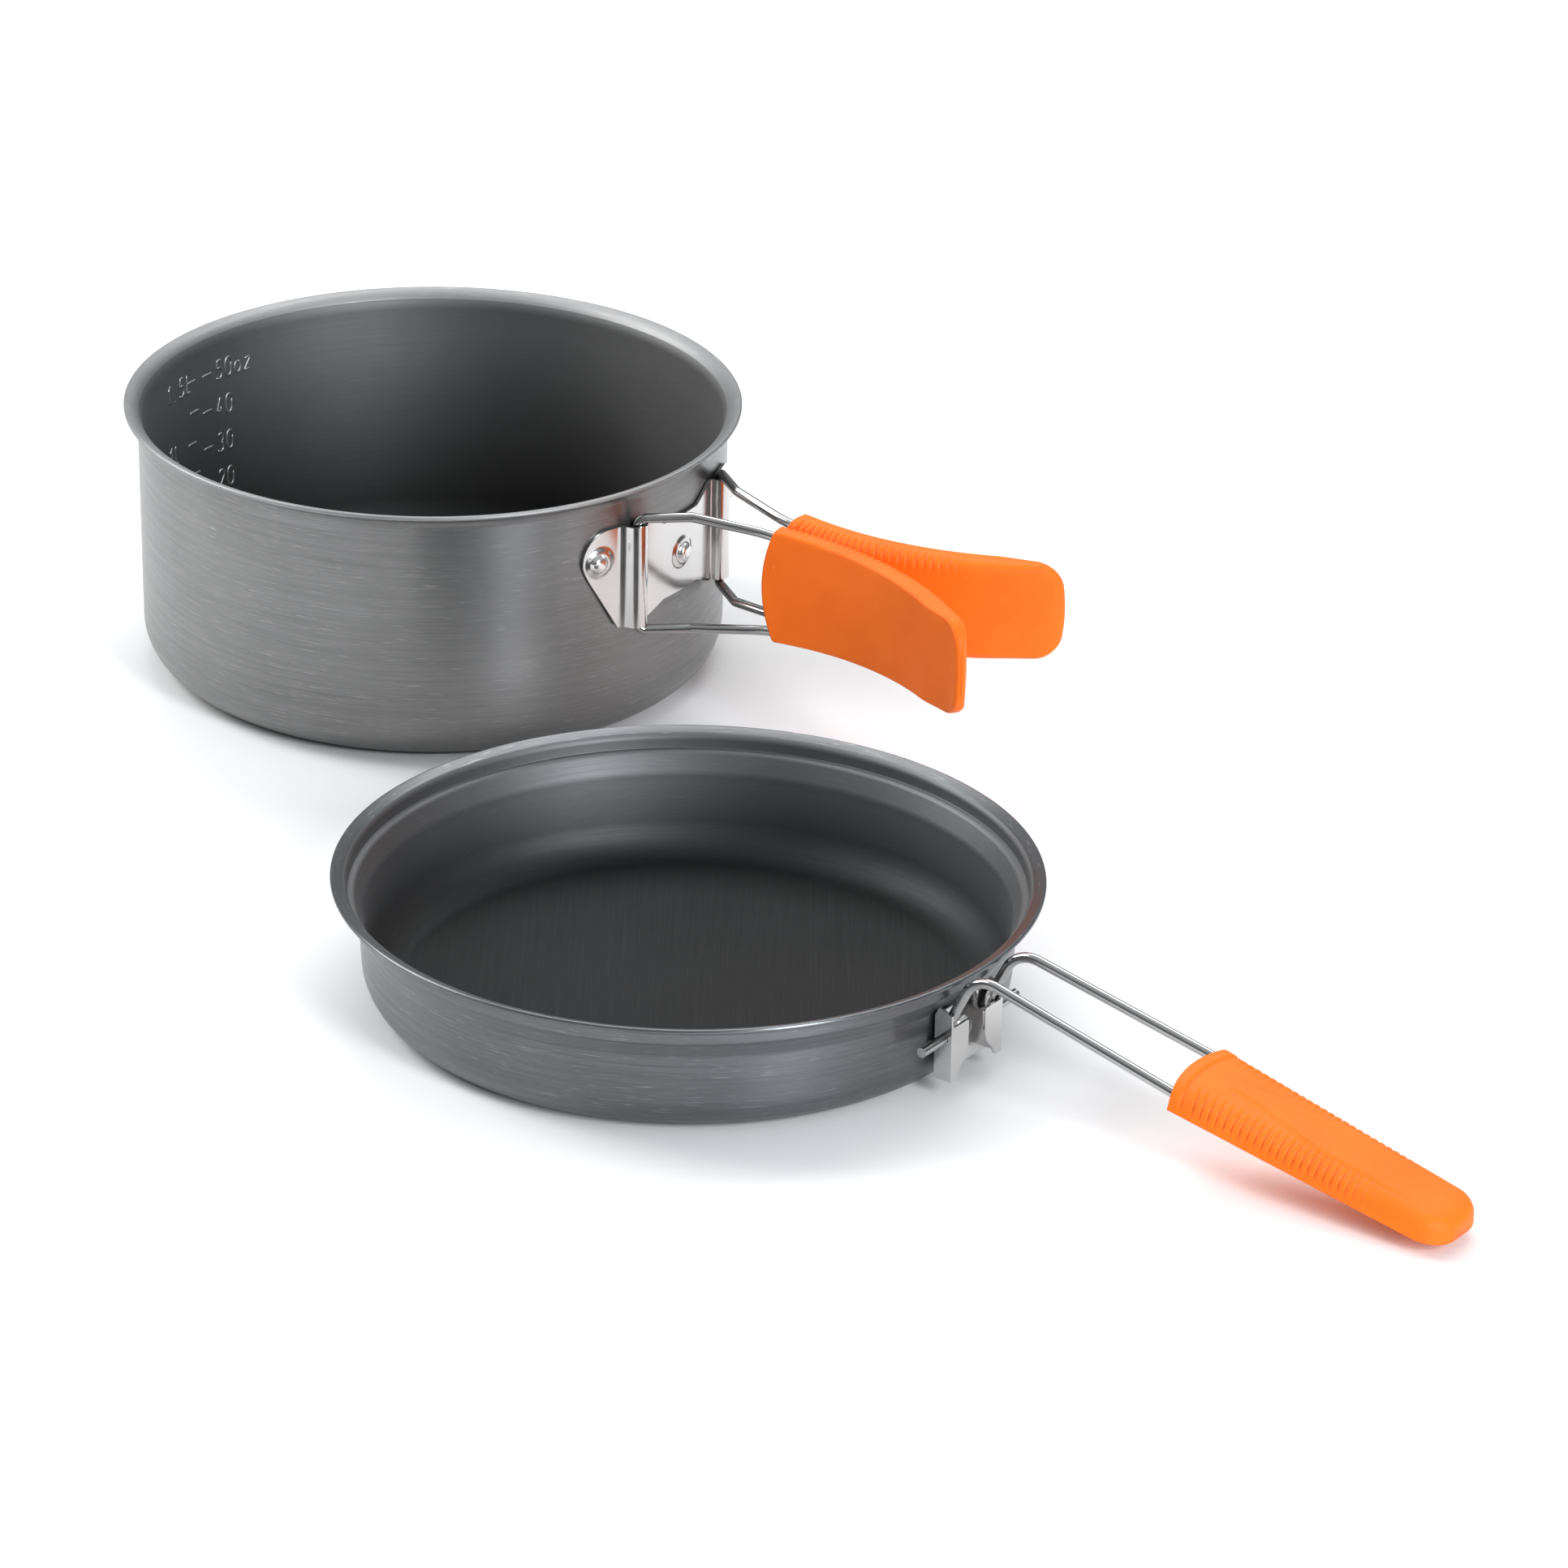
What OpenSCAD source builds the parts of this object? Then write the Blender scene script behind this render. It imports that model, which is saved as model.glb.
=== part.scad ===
// Camping cook set: a tall pot with two folding wire handles, and a low frying pan with one
// folding wire handle. The pan also turns over and sits on the pot as its lid.
// Millimetres, +Z up. The origin is the centre of the pot's base.

/* [Pot] */
// Height of the pot
pot_h = 82.4; // [70:0.1:100]
// Outer radius of the wall just under the rim
pot_top_r = 89.4; // [85:0.1:95]
// How much smaller the wall's radius is at the base
pot_taper = 1.2; // [0.5:0.1:2.5]
// Radius of the rounded edge between wall and base
pot_corner_r = 14; // [8:0.5:20]
// Thickness of the aluminium sheet of both vessels
sheet = 1.4; // [1:0.1:1.8]
// Middle radius of the outward curl of the pot's rim
pot_curl_r = 4.8; // [3:0.1:6]
// How far the curl turns from upright
pot_curl_turn = 78; // [60:1:85]

/* [Pot handles] */
// Direction in which the pot's handles point, about +Z
pot_handle_az = -32.4; // [-60:0.1:0]
// Angle between the bracket's middle and each hinge line
hinge_az = 13.85; // [12:0.05:16]
// Distance of the hinge lines from the pot's axis
hinge_r = 92; // [91.6:0.1:92.6]
// Lower end of the bracket's hinge tubes
tube_low = 38; // [34:0.1:44]
// Length of the bracket's hinge tubes
tube_len = 32.4; // [28:0.1:36]
// Turn of each handle from folded against the wall to in use
handle_open = 138; // [120:0.1:138]
// Diameter of all the handle wire
wire_d = 3; // [2.5:0.1:3.2]
// Where the grip starts, past the hinge line, with the handle folded
grip_from = 23.7; // [20:0.1:28]
// Where the grip ends, past the hinge line, with the handle folded
grip_to = 77.6; // [65:0.1:85]
// Thickness of the pot handles' grips
grip_t = 7.7; // [6:0.1:7.8]
// Height of a grip at its hinge end
grip_h_start = 35.8; // [34:0.1:36]
// Height of a grip at its free end
grip_h_end = 29.8; // [20:0.1:30]
// Height of a grip's middle line at its hinge end
grip_mid_start = 54.9; // [54.8:0.1:55.4]
// Height of a grip's middle line at its free end
grip_mid_end = 53.6; // [53.4:0.1:55]
// How much thinner a grip is at its free end
grip_thin = 3; // [0:0.1:3.5]

/* [Pan] */
// Position of the pan beside the pot, across
pan_x = 82; // [60:0.5:120]
// Position of the pan beside the pot, towards the user
pan_y = -235.3; // [-260:0.1:-215]
// Height of the pan
pan_h = 37; // [32:0.1:45]
// Outer radius of the pan's rim
pan_rim_r = 99.8; // [98:0.1:102]
// Outer radius of the wall under the stepped rim
pan_top_r = 92; // [90:0.1:93]
// How much smaller the wall's radius is at the base
pan_taper = 1.6; // [0.5:0.1:2.5]
// Radius of the rounded edge between wall and base
pan_corner_r = 12; // [8:0.5:16]

/* [Pan handle] */
// Direction in which the pan's handle points, about +Z
pan_handle_az = -35; // [-60:0.5:0]
// Distance of the handle's hinge line from the pan's axis
pin_r = 95; // [94.8:0.1:95.4]
// Height of the handle's hinge line
pin_z = 18.5; // [16:0.1:21]
// Half the distance between the two wires beside the bracket
leg_y = 9.5; // [8.5:0.1:9.6]
// Half the distance between the two wires at the grip
grip_wire_y = 12; // [10:0.1:12.4]
// Downward slope of the handle
handle_slope = 12.15; // [8:0.05:14]
// Length of the straight wire and grip together
handle_len = 153.3; // [140:0.1:170]
// Length of the grip
pan_grip_len = 85.1; // [75:0.1:100]
// Width of the grip at its bracket end
pan_grip_w_start = 31.6; // [27:0.1:32]
// Width of the grip at its free end
pan_grip_w_end = 24.4; // [19:0.1:25]
// Thickness of the grip
pan_grip_t = 8; // [7:0.1:9]
// Half the length of the pin that carries the handle
pin_half = 22.9; // [20:0.1:25]

/* [Fittings] */
// Thickness of the stainless steel brackets
plate = 1; // [0.8:0.1:1.2]
// Radius of the rivet shanks
rivet_r = 1.6; // [1.2:0.1:2]
// Radius of the rivet heads on the bracket side
rivet_head_r = 3; // [2.5:0.1:3.4]
// Height of the rivet heads on the bracket side
rivet_head_h = 1.7; // [1.2:0.1:2]
// Height at which the middle rivet goes through the pot's wall
rivet_mid_z = 54.4; // [50:0.1:58]
// Height of the two outer rivets
rivet_side_z = 60.6; // [58:0.1:62]
// Angle from the bracket's middle to each outer rivet
rivet_side_az = 22.6; // [22:0.1:24]
// Height of the pan's rivet
pan_rivet_z = 16.6; // [14:0.1:18]
// Radial play of the wires in their hinges
play = 0.1; // [0.02:0.01:0.1]

/* [Hidden] */

wire_r = wire_d / 2;
eps = 0.01;
// Room between a grip and the wire moulded into it
grip_play = 0.05;

pot_colour = [0.44, 0.45, 0.45];
pan_colour = [0.33, 0.35, 0.37];
steel_colour = [0.80, 0.80, 0.79];
grip_colour = [0.98, 0.49, 0.13];

// ---- outlines and bent wire ----

function unit(v) = v / norm(v);
function polar(r, a, z) = [r * cos(a), r * sin(a), z];
function turn_at(p, q, s) = acos(min(1, max(-1, unit(q - p) * unit(s - q))));
function trim_at(p, q, s, r) = r * tan(turn_at(p, q, s) / 2);
function left_of(d) = [-d.y, d.x];

// Points of the rounded corner at q on the way from p to s, at a distance off to the left of the path.
function corner(p, q, s, r, off, steps) =
    let (
        d = unit(q - p),
        e = unit(s - q),
        way = sign(d.x * e.y - d.y * e.x),
        turn = turn_at(p, q, s),
        centre = q - d * trim_at(p, q, s, r) + left_of(d) * way * r
    )
    r == 0 ? [q + off * unit(left_of(d) + left_of(e)) / cos(turn / 2)]
    : [for (i = [0:steps])
        let (a = way * turn * i / steps, n = -way * left_of(d))
        centre + (r - way * off) * [n.x * cos(a) - n.y * sin(a), n.x * sin(a) + n.y * cos(a)]];

// Closed outline through corner points, each with its own rounding radius.
function rounded(pts, radii, steps) = [for (i = [0:len(pts) - 1])
    each corner(pts[(i + len(pts) - 1) % len(pts)], pts[i], pts[(i + 1) % len(pts)], radii[i], 0, steps)];

// One face of a bent sheet, at a distance off to the left of its middle line.
function sheet_face(pts, bends, off, steps) = concat(
    [pts[0] + off * left_of(unit(pts[1] - pts[0]))],
    [for (i = [1:len(pts) - 2]) each corner(pts[i - 1], pts[i], pts[i + 1], bends[i], off, steps)]
);

// Both faces of a bent sheet with a round lip at its last point.
function sheet_outline(pts, bends, t, steps) =
    let (
        last = len(pts) - 1,
        d = unit(pts[last] - pts[last - 1]),
        start = atan2(d.y, d.x) - 90,
        inner = sheet_face(pts, bends, t / 2, steps)
    )
    concat(
        sheet_face(pts, bends, -t / 2, steps),
        [for (i = [0:steps]) let (a = start + 180 * i / steps) pts[last] + t / 2 * [cos(a), sin(a)]],
        [for (i = [len(inner) - 1:-1:0]) inner[i]]
    );

bend_swell = 0.02;
bar_overlap = 0.05;

// Round bar from one point to another.
module bar(a, b, r) {
    v = b - a;
    translate(a)
        rotate([0, acos(v.z / norm(v)), atan2(v.y, v.x)])
            cylinder(r = r, h = norm(v), $fn = 32);
}

// One bend of a wire at point q, on its way from p to s.
module bend(p, q, s, bend_r, r) {
    u = unit(q - p);
    v = unit(s - q);
    w = unit(v - (u * v) * u);
    n = cross(u, w);
    c = q - u * trim_at(p, q, s, bend_r) + w * bend_r;
    multmatrix([[-w.x, u.x, n.x, c.x], [-w.y, u.y, n.y, c.y], [-w.z, u.z, n.z, c.z], [0, 0, 0, 1]])
        rotate_extrude(angle = turn_at(p, q, s), $fn = 96)
            translate([bend_r, 0])
                circle(r = r + bend_swell, $fn = 32);
}

// Wire along corner points; each entry is [point, bend radius]. Bars reach a little into the bends.
module wire(path, r, closed) {
    n = len(path);
    pts = [for (e = path) e[0]];
    ends = closed ? 0 : 1;
    trims = [for (i = [0:n - 1]) !closed && (i == 0 || i == n - 1) ? 0
        : trim_at(pts[(i + n - 1) % n], pts[i], pts[(i + 1) % n], path[i][1]) - bar_overlap];
    for (i = [ends:n - 1 - ends])
        bend(pts[(i + n - 1) % n], pts[i], pts[(i + 1) % n], path[i][1], r);
    for (i = [0:n - 1 - ends]) {
        j = (i + 1) % n;
        d = unit(pts[j] - pts[i]);
        bar(pts[i] + d * trims[i], pts[j] - d * trims[j], r);
    }
}

// ---- vessels ----

// Length of the curl's straight end past its bend
lip_end = 0.3;
curl_trim = pot_curl_r * tan(pot_curl_turn / 2);
pot_wall_top = [pot_top_r - sheet / 2, pot_h - sheet / 2 - (curl_trim + lip_end / 2) * cos(pot_curl_turn)];
pot_lip_dir = [sin(pot_curl_turn), cos(pot_curl_turn)];
pot_profile = [
    [0, sheet / 2],
    [pot_top_r - sheet / 2 - pot_taper, sheet / 2],
    pot_wall_top,
    pot_wall_top + pot_lip_dir * (curl_trim + lip_end)
];
pot_bends = [0, pot_corner_r - sheet / 2, pot_curl_r, 0];

// Outer radius of the pot's straight wall at height z.
function pot_wall_r(z) = pot_top_r - pot_taper * (1 - z / pot_wall_top.y);

pan_profile = [
    [0, sheet / 2],
    [pan_top_r - sheet / 2 - pan_taper, sheet / 2],
    [pan_top_r - sheet / 2, pan_h - 11.6],
    [pan_rim_r - 6.2, pan_h - 6.2],
    [pan_rim_r - 4.2, pan_h - 6],
    [pan_rim_r - 3.9, pan_h - 2],
    [pan_rim_r - sheet / 2, pan_h - sheet / 2]
];
pan_bends = [0, pan_corner_r - sheet / 2, 5, 0.9, 0.9, 1.5, 0];

module vessel(profile, bends) {
    rotate_extrude($fn = 180) polygon(sheet_outline(profile, bends, sheet, 10));
}

module pan_place() {
    translate([pan_x, pan_y, 0]) children();
}

// ---- pot bracket and rivets, with +X along the bracket's middle ----

module at_pot_bracket() {
    rotate([0, 0, pot_handle_az]) children();
}

// A rivet's hole or shank along +X at azimuth az and height z.
module rivet_line(az, z, r, from, to) {
    rotate([0, 0, az]) translate([from, 0, z]) rotate([0, 90, 0]) cylinder(r = r, h = to - from, $fn = 48);
}

bracket_r = pot_top_r + 0.1;
boss_r = 5;
boss_h = 0.6;

pot_rivets = [[-rivet_side_az, rivet_side_z], [0, rivet_mid_z], [rivet_side_az, rivet_side_z]];

module pot_rivet_holes(from, to) {
    for (p = pot_rivets) rivet_line(p[0], p[1], rivet_r, from, to);
}

module pot_rivet(i) {
    az = pot_rivets[i][0];
    z = pot_rivets[i][1];
    seat = bracket_r + plate + boss_h;
    inner = pot_wall_r(z) - sheet;
    color(steel_colour) at_pot_bracket() {
        rivet_line(az, z, rivet_r, inner - 0.5, seat + 0.3);
        rotate([0, 0, az]) translate([seat, 0, z]) rotate([0, 90, 0]) rivet_dome();
        intersection() {
            rivet_line(az, z, rivet_head_r + 0.6, inner - 1, inner + 1);
            difference() {
                cylinder(r = inner - 0.02, h = pot_h, $fn = 180);
                translate([0, 0, -eps]) cylinder(r = inner - 0.9, h = pot_h + 1, $fn = 180);
            }
        }
    }
}

// Domed head standing on z = 0: a cap of a sphere.
module rivet_dome() {
    ball = (rivet_head_r * rivet_head_r + rivet_head_h * rivet_head_h) / (2 * rivet_head_h);
    intersection() {
        translate([0, 0, rivet_head_h - ball]) sphere(r = ball, $fn = 64);
        cylinder(r = rivet_head_r + 1, h = rivet_head_h + 1, $fn = 64);
    }
}

// Everything outside the bracket's inner face, over an outline drawn in [across, up] at azimuth az.
module wall_prism(az, pts) {
    rotate([0, 0, az]) translate([bracket_r - 10, 0, 0]) rotate([90, 0, 90])
        linear_extrude(height = 20) polygon(pts);
}

tube_r = 3;
tube_top = tube_low + tube_len;
// Half the distance across between the inner sides of the two hinge tubes
web_x = hinge_r * sin(hinge_az) - tube_r + 0.6;

// Middle plate: narrower in height between two slanted corners at each side.
module middle_outline() {
    corner_w = 2.2;
    step_x = 8.8;
    low_step = 3.8;
    top_step = 4.4;
    wall_prism(0, [
        [-web_x, tube_low + 0.1], [corner_w - web_x, tube_low + 0.1], [-step_x, tube_low + low_step],
        [step_x, tube_low + low_step], [web_x - corner_w, tube_low + 0.1], [web_x, tube_low + 0.1],
        [web_x, tube_top - 0.1], [web_x - corner_w, tube_top - 0.1], [step_x, tube_top - top_step],
        [-step_x, tube_top - top_step], [corner_w - web_x, tube_top - 0.1], [-web_x, tube_top - 0.1]
    ]);
}

// Side flange: a round shoulder beside the rivet and an edge that runs in towards the bottom.
module flange_outline(side) {
    edge = 5;
    edge_low = 58.5;
    foot = -7.8;
    root = -12.6;
    outline = rounded(
        [[root, tube_low + 0.2], [foot, tube_low + 0.2], [edge, edge_low],
         [edge, tube_top - 0.2], [root, tube_top - 0.2]],
        [0, 2.5, 4, 9.4, 0], 10);
    mirror([0, side < 0 ? 1 : 0, 0]) wall_prism(rivet_side_az, outline);
}

// Rolled tube round the handle's wire, with two short walls back to the plate.
module hinge_tube(side) {
    wall_half = tube_r - 0.1;
    rotate([0, 0, side * hinge_az]) translate([0, 0, tube_low]) {
        translate([hinge_r, 0, 0]) cylinder(r = tube_r, h = tube_len, $fn = 64);
        translate([bracket_r - 1, -wall_half, 0.05])
            cube([hinge_r - bracket_r + 1, 2 * wall_half, tube_len - 0.1]);
    }
}

// Bore, the gap behind it and the room for the wire's bends at both ends.
module hinge_bore(side) {
    relief = 1.4;
    gap_half = wire_r;
    rotate([0, 0, side * hinge_az]) translate([0, 0, tube_low]) {
        translate([hinge_r, 0, -1]) cylinder(r = wire_r + play, h = tube_len + 2, $fn = 64);
        translate([bracket_r - 5, -gap_half, -1]) cube([hinge_r - bracket_r + 5, 2 * gap_half, tube_len + 2]);
        for (z = [-relief, tube_len - relief])
            translate([hinge_r, 0, z]) cylinder(r = wire_r + 0.6, h = 2 * relief, $fn = 64);
    }
}

module pot_bracket() {
    color(steel_colour) at_pot_bracket() difference() {
        union() {
            intersection() {
                cylinder(r = bracket_r + plate, h = pot_h, $fn = 180);
                union() {
                    middle_outline();
                    flange_outline(-1);
                    flange_outline(1);
                }
            }
            for (side = [-1, 1]) hinge_tube(side);
            for (p = pot_rivets)
                rotate([0, 0, p[0]]) translate([bracket_r + 0.3, 0, p[1]]) rotate([0, 90, 0])
                    cylinder(r1 = boss_r, r2 = boss_r - 1.6, h = plate + boss_h - 0.3, $fn = 64);
        }
        translate([0, 0, -eps]) cylinder(r = bracket_r, h = pot_h + 1, $fn = 180);
        for (side = [-1, 1]) hinge_bore(side);
        pot_rivet_holes(bracket_r - 4, bracket_r + 8);
    }
}

// ---- pot handles: drawn folded round the pot on the +Y side of the bracket, then turned out ----

// Room between a folded grip and the pot's wall
grip_gap = 0.7;
grip_r = pot_top_r + grip_gap + grip_t / 2;
tube_mid_z = tube_low + tube_len / 2;

module handle_turn() {
    hinge = polar(hinge_r, hinge_az, 0);
    translate(hinge) rotate([0, 0, -handle_open]) translate(-hinge) children();
}

module handle_side(side) {
    at_pot_bracket() mirror([0, side < 0 ? 1 : 0, 0]) handle_turn() children();
}

// Centre line of the wire; up is -1 for the lower run and 1 for the upper one.
function run_point(r, past, half) = polar(r, hinge_az + past, tube_mid_z + half);
wire_half = tube_len / 2 + wire_r + 0.2;
kink_past = 9.8;
loop_end = grip_to - 8;
function half_at(past) = wire_half - (wire_half - 7.6) * (past - kink_past) / (loop_end - kink_past);
loop_turns = [grip_from - 0.5, 40, 56];
lower_run = concat(
    [[run_point(hinge_r, 0, -wire_half), 2.6], [run_point(hinge_r + 2.5, kink_past, -wire_half), 6]],
    [for (a = loop_turns) [run_point(grip_r + 0.4, a, -half_at(a)), 30]],
    [[run_point(grip_r, loop_end, -half_at(loop_end)), 4.5]]
);
function lifted(e) = [[e[0].x, e[0].y, 2 * tube_mid_z - e[0].z], e[1]];
pot_wire_path = concat(lower_run, [for (i = [len(lower_run) - 1:-1:0]) lifted(lower_run[i])]);

module pot_handle_wire(side) {
    color(steel_colour) handle_side(side) wire(pot_wire_path, wire_r, true);
}

// The grip's outline seen along the radius at its middle, in [across, up], with round corners at the end.
function pot_grip_outline(reach) =
    let (h0 = grip_h_start / 2, h1 = grip_h_end / 2, z0 = grip_mid_start, z1 = grip_mid_end)
    rounded([[-reach, z0 - h0], [reach, z1 - h1], [reach, z1 + h1], [-reach, z0 + h0]],
        [1.5, 7.3, 7.3, 1.5], 8);

// What is cut off the inner side of a grip so that it thins towards its free end.
module grip_thinning() {
    thin_len = 16;
    inner_r = grip_r - grip_t / 2;
    slant = atan((grip_thin + thin_len * thin_len / (2 * inner_r)) / thin_len);
    rotate([0, 0, hinge_az + grip_to]) translate([inner_r + grip_thin, 0, 0]) rotate([0, 0, -slant])
        translate([-2 * thin_len, -3 * thin_len, 0]) cube([2 * thin_len, 6 * thin_len, pot_h]);
}

module pot_handle_grip(side) {
    mid = (grip_from + grip_to) / 2;
    half_angle = (grip_to - grip_from) / 2;
    reach = (grip_r + grip_t / 2) * sin(half_angle);
    color(grip_colour) handle_side(side) difference() {
        intersection() {
            rotate([0, 0, hinge_az + grip_from])
                rotate_extrude(angle = grip_to - grip_from, $fn = 180)
                    translate([grip_r - grip_t / 2, 0]) square([grip_t, pot_h]);
            rotate([0, 0, hinge_az + mid]) translate([grip_r - 40, 0, 0]) rotate([90, 0, 90])
                linear_extrude(height = 60) polygon(pot_grip_outline(reach));
        }
        grip_thinning();
        wire(pot_wire_path, wire_r + grip_play, true);
    }
}

// ---- pan fittings, with +X along the handle and the origin under the pan's axis ----

module at_pan_handle() {
    pan_place() rotate([0, 0, pan_handle_az]) children();
}

box_back = pan_top_r + 0.15;
box_front = 97.7;
box_half = 12.4;
box_plate = 0.8;
box_low = 6;
box_back_top = 25.2;
box_front_top = 25.9;

// Side wall of the bracket, drawn in [outward, up].
module box_side(y) {
    translate([0, y + box_plate, 0]) rotate([90, 0, 0]) linear_extrude(height = box_plate)
        polygon([[box_back, box_low], [box_front, box_low], [box_front, box_front_top],
                 [box_back + 1.5, box_back_top + 2.4], [box_back, box_back_top]]);
}

// Front lip: from the side's corner its top edge drops below the leaning leg of the handle, and its
// inner edge runs out to the side lower down.
module box_lip(side) {
    lip_w = 8.4;
    lip_top = leg_bend_z - 0.3;
    shoulder_w = 0.9;
    foot_w = 3;
    outline = rounded(
        [[0, box_low], [foot_w, box_low], [4.6, 9], [7.4, 12], [lip_w, 15],
         [lip_w, lip_top], [shoulder_w, lip_top], [0, box_front_top]],
        [0, 0.8, 2, 3, 4, 0.8, 0.3, 0], 6);
    mirror([0, side > 0 ? 0 : 1, 0]) translate([box_front - box_plate, box_half, 0]) mirror([0, 1, 0])
        rotate([90, 0, 90]) linear_extrude(height = box_plate) polygon(outline);
}

module pan_bracket() {
    color(steel_colour) at_pan_handle() difference() {
        union() {
            translate([box_back, -box_half, box_low]) cube([box_plate, 2 * box_half, box_back_top - box_low]);
            for (side = [-1, 1]) {
                box_side(side > 0 ? box_half - box_plate : -box_half);
                box_lip(side);
            }
        }
        translate([pin_r, box_half + 1, pin_z]) rotate([90, 0, 0])
            cylinder(r = wire_r + play, h = 2 * box_half + 2, $fn = 64);
        rivet_line(0, pan_rivet_z, rivet_r, box_back - 3, box_front + 3);
    }
}

// Outer radius of the pan's wall at the rivet
pan_wall_at_rivet = pan_top_r - pan_taper * (1 - pan_rivet_z / (pan_h - 11.6));

module pan_rivet() {
    inner = pan_wall_at_rivet - sheet;
    head_r = 3.7;
    color(steel_colour) at_pan_handle() {
        rivet_line(0, pan_rivet_z, rivet_r, inner - 0.5, box_back + box_plate + 0.3);
        translate([box_back + box_plate, 0, pan_rivet_z]) rotate([0, 90, 0])
            scale(head_r / rivet_head_r) rivet_dome();
        intersection() {
            rivet_line(0, pan_rivet_z, head_r, inner - 1.2, inner + 1);
            difference() {
                cylinder(r = inner - 0.15, h = pan_h, $fn = 180);
                translate([0, 0, -eps]) cylinder(r = inner - 1.1, h = pan_h + 1, $fn = 180);
            }
        }
    }
}

// Straight part of the handle: a line through the shoulder bend, sloping down and outwards.
shoulder = [103.65, 39.4];
slope_dir = [cos(handle_slope), -sin(handle_slope)];
function along(s) = shoulder + slope_dir * s;
// How far the wire lies under the middle of the grip's thickness
wire_sink = 0.7;
function pan_wire_point(s, y) = [along(s).x, y, along(s).y - (s > 0 ? wire_sink : 0)];
pan_grip_start = handle_len - pan_grip_len;
pan_loop_end = handle_len - 6;

// Height at which each leg leaves the upright
leg_bend_z = 22.4;

pan_half_path = [
    [[pin_r, pin_half, pin_z], 0],
    [[pin_r, leg_y, pin_z], 2],
    [[pin_r, leg_y + 0.1, leg_bend_z], 4],
    [pan_wire_point(0, leg_y + 0.6), 9],
    [pan_wire_point(pan_grip_start, grip_wire_y), 60],
    [pan_wire_point(pan_loop_end, 7), 5]
];
function other_side(e) = [[e[0].x, -e[0].y, e[0].z], e[1]];
pan_wire_path = concat(pan_half_path,
    [for (i = [len(pan_half_path) - 1:-1:0]) other_side(pan_half_path[i])]);

module pan_handle_wire() {
    color(steel_colour) at_pan_handle() wire(pan_wire_path, wire_r, false);
}

// Grip seen from above: x runs from the bracket end, which bulges, to the free end.
function pan_grip_outline() =
    let (
        bulge = 2.9,
        w0 = pan_grip_w_start / 2,
        w1 = pan_grip_w_end / 2,
        bulge_r = (w0 * w0 + bulge * bulge) / (2 * bulge),
        open = asin(w0 / bulge_r)
    )
    concat(
        rounded([[0, -w0], [pan_grip_len, -w1], [pan_grip_len, w1], [0, w0]], [0, 8.4, 8.4, 0], 8),
        [for (i = [1:11]) let (a = open * (1 - i / 6)) [bulge_r - bulge - bulge_r * cos(a), bulge_r * sin(a)]]
    );

module pan_handle_grip() {
    color(grip_colour) at_pan_handle() difference() {
        translate([along(pan_grip_start).x, 0, along(pan_grip_start).y])
            rotate([0, handle_slope, 0])
                translate([0, 0, -pan_grip_t / 2])
                    linear_extrude(height = pan_grip_t) polygon(pan_grip_outline());
        wire(pan_wire_path, wire_r + grip_play, false);
    }
}

// ---- the vessels with their rivet holes ----

module pot_shell() {
    color(pot_colour) difference() {
        vessel(pot_profile, pot_bends);
        at_pot_bracket() pot_rivet_holes(pot_top_r - 8, pot_top_r + 6);
    }
}

module pan_shell() {
    color(pan_colour) difference() {
        pan_place() vessel(pan_profile, pan_bends);
        at_pan_handle() rivet_line(0, pan_rivet_z, rivet_r, pan_top_r - 8, pan_top_r + 4);
    }
}

pot_shell();
pot_bracket();
pot_rivet(0);  // pot_rivet_left
pot_rivet(1);  // pot_rivet_centre
pot_rivet(2);  // pot_rivet_right
pot_handle_wire(-1);  // left_handle_wire
pot_handle_grip(-1);  // left_handle_grip
pot_handle_wire(1);  // right_handle_wire
pot_handle_grip(1);  // right_handle_grip
pan_shell();
pan_bracket();
pan_rivet();
pan_handle_wire();
pan_handle_grip();
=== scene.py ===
from math import acos, atan2, cos, degrees, exp, pi, radians, sin, sqrt, tan

import bpy
from mathutils import Matrix, Quaternion, Vector


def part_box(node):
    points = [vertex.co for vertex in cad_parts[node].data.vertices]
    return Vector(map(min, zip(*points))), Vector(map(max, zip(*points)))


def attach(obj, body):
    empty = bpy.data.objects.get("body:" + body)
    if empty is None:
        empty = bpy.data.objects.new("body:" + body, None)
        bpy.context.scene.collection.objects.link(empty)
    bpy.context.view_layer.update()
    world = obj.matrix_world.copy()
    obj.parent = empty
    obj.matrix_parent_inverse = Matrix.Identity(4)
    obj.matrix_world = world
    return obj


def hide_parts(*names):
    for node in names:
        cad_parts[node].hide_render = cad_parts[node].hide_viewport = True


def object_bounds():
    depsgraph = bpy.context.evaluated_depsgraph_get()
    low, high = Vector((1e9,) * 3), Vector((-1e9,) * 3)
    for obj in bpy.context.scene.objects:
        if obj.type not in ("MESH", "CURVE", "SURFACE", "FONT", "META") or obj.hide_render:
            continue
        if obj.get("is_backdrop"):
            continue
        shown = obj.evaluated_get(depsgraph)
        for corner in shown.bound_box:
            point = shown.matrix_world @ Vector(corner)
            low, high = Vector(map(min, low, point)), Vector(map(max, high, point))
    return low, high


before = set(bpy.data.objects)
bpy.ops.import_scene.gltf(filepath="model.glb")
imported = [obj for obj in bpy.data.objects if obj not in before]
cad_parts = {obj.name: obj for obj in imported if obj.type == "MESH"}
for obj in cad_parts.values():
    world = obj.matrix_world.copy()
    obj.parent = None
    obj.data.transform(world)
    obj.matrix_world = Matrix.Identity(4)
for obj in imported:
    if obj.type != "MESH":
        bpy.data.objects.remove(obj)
CAD_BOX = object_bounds()

# ---- sizes, in metres and degrees ----

MM = 0.001

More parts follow.
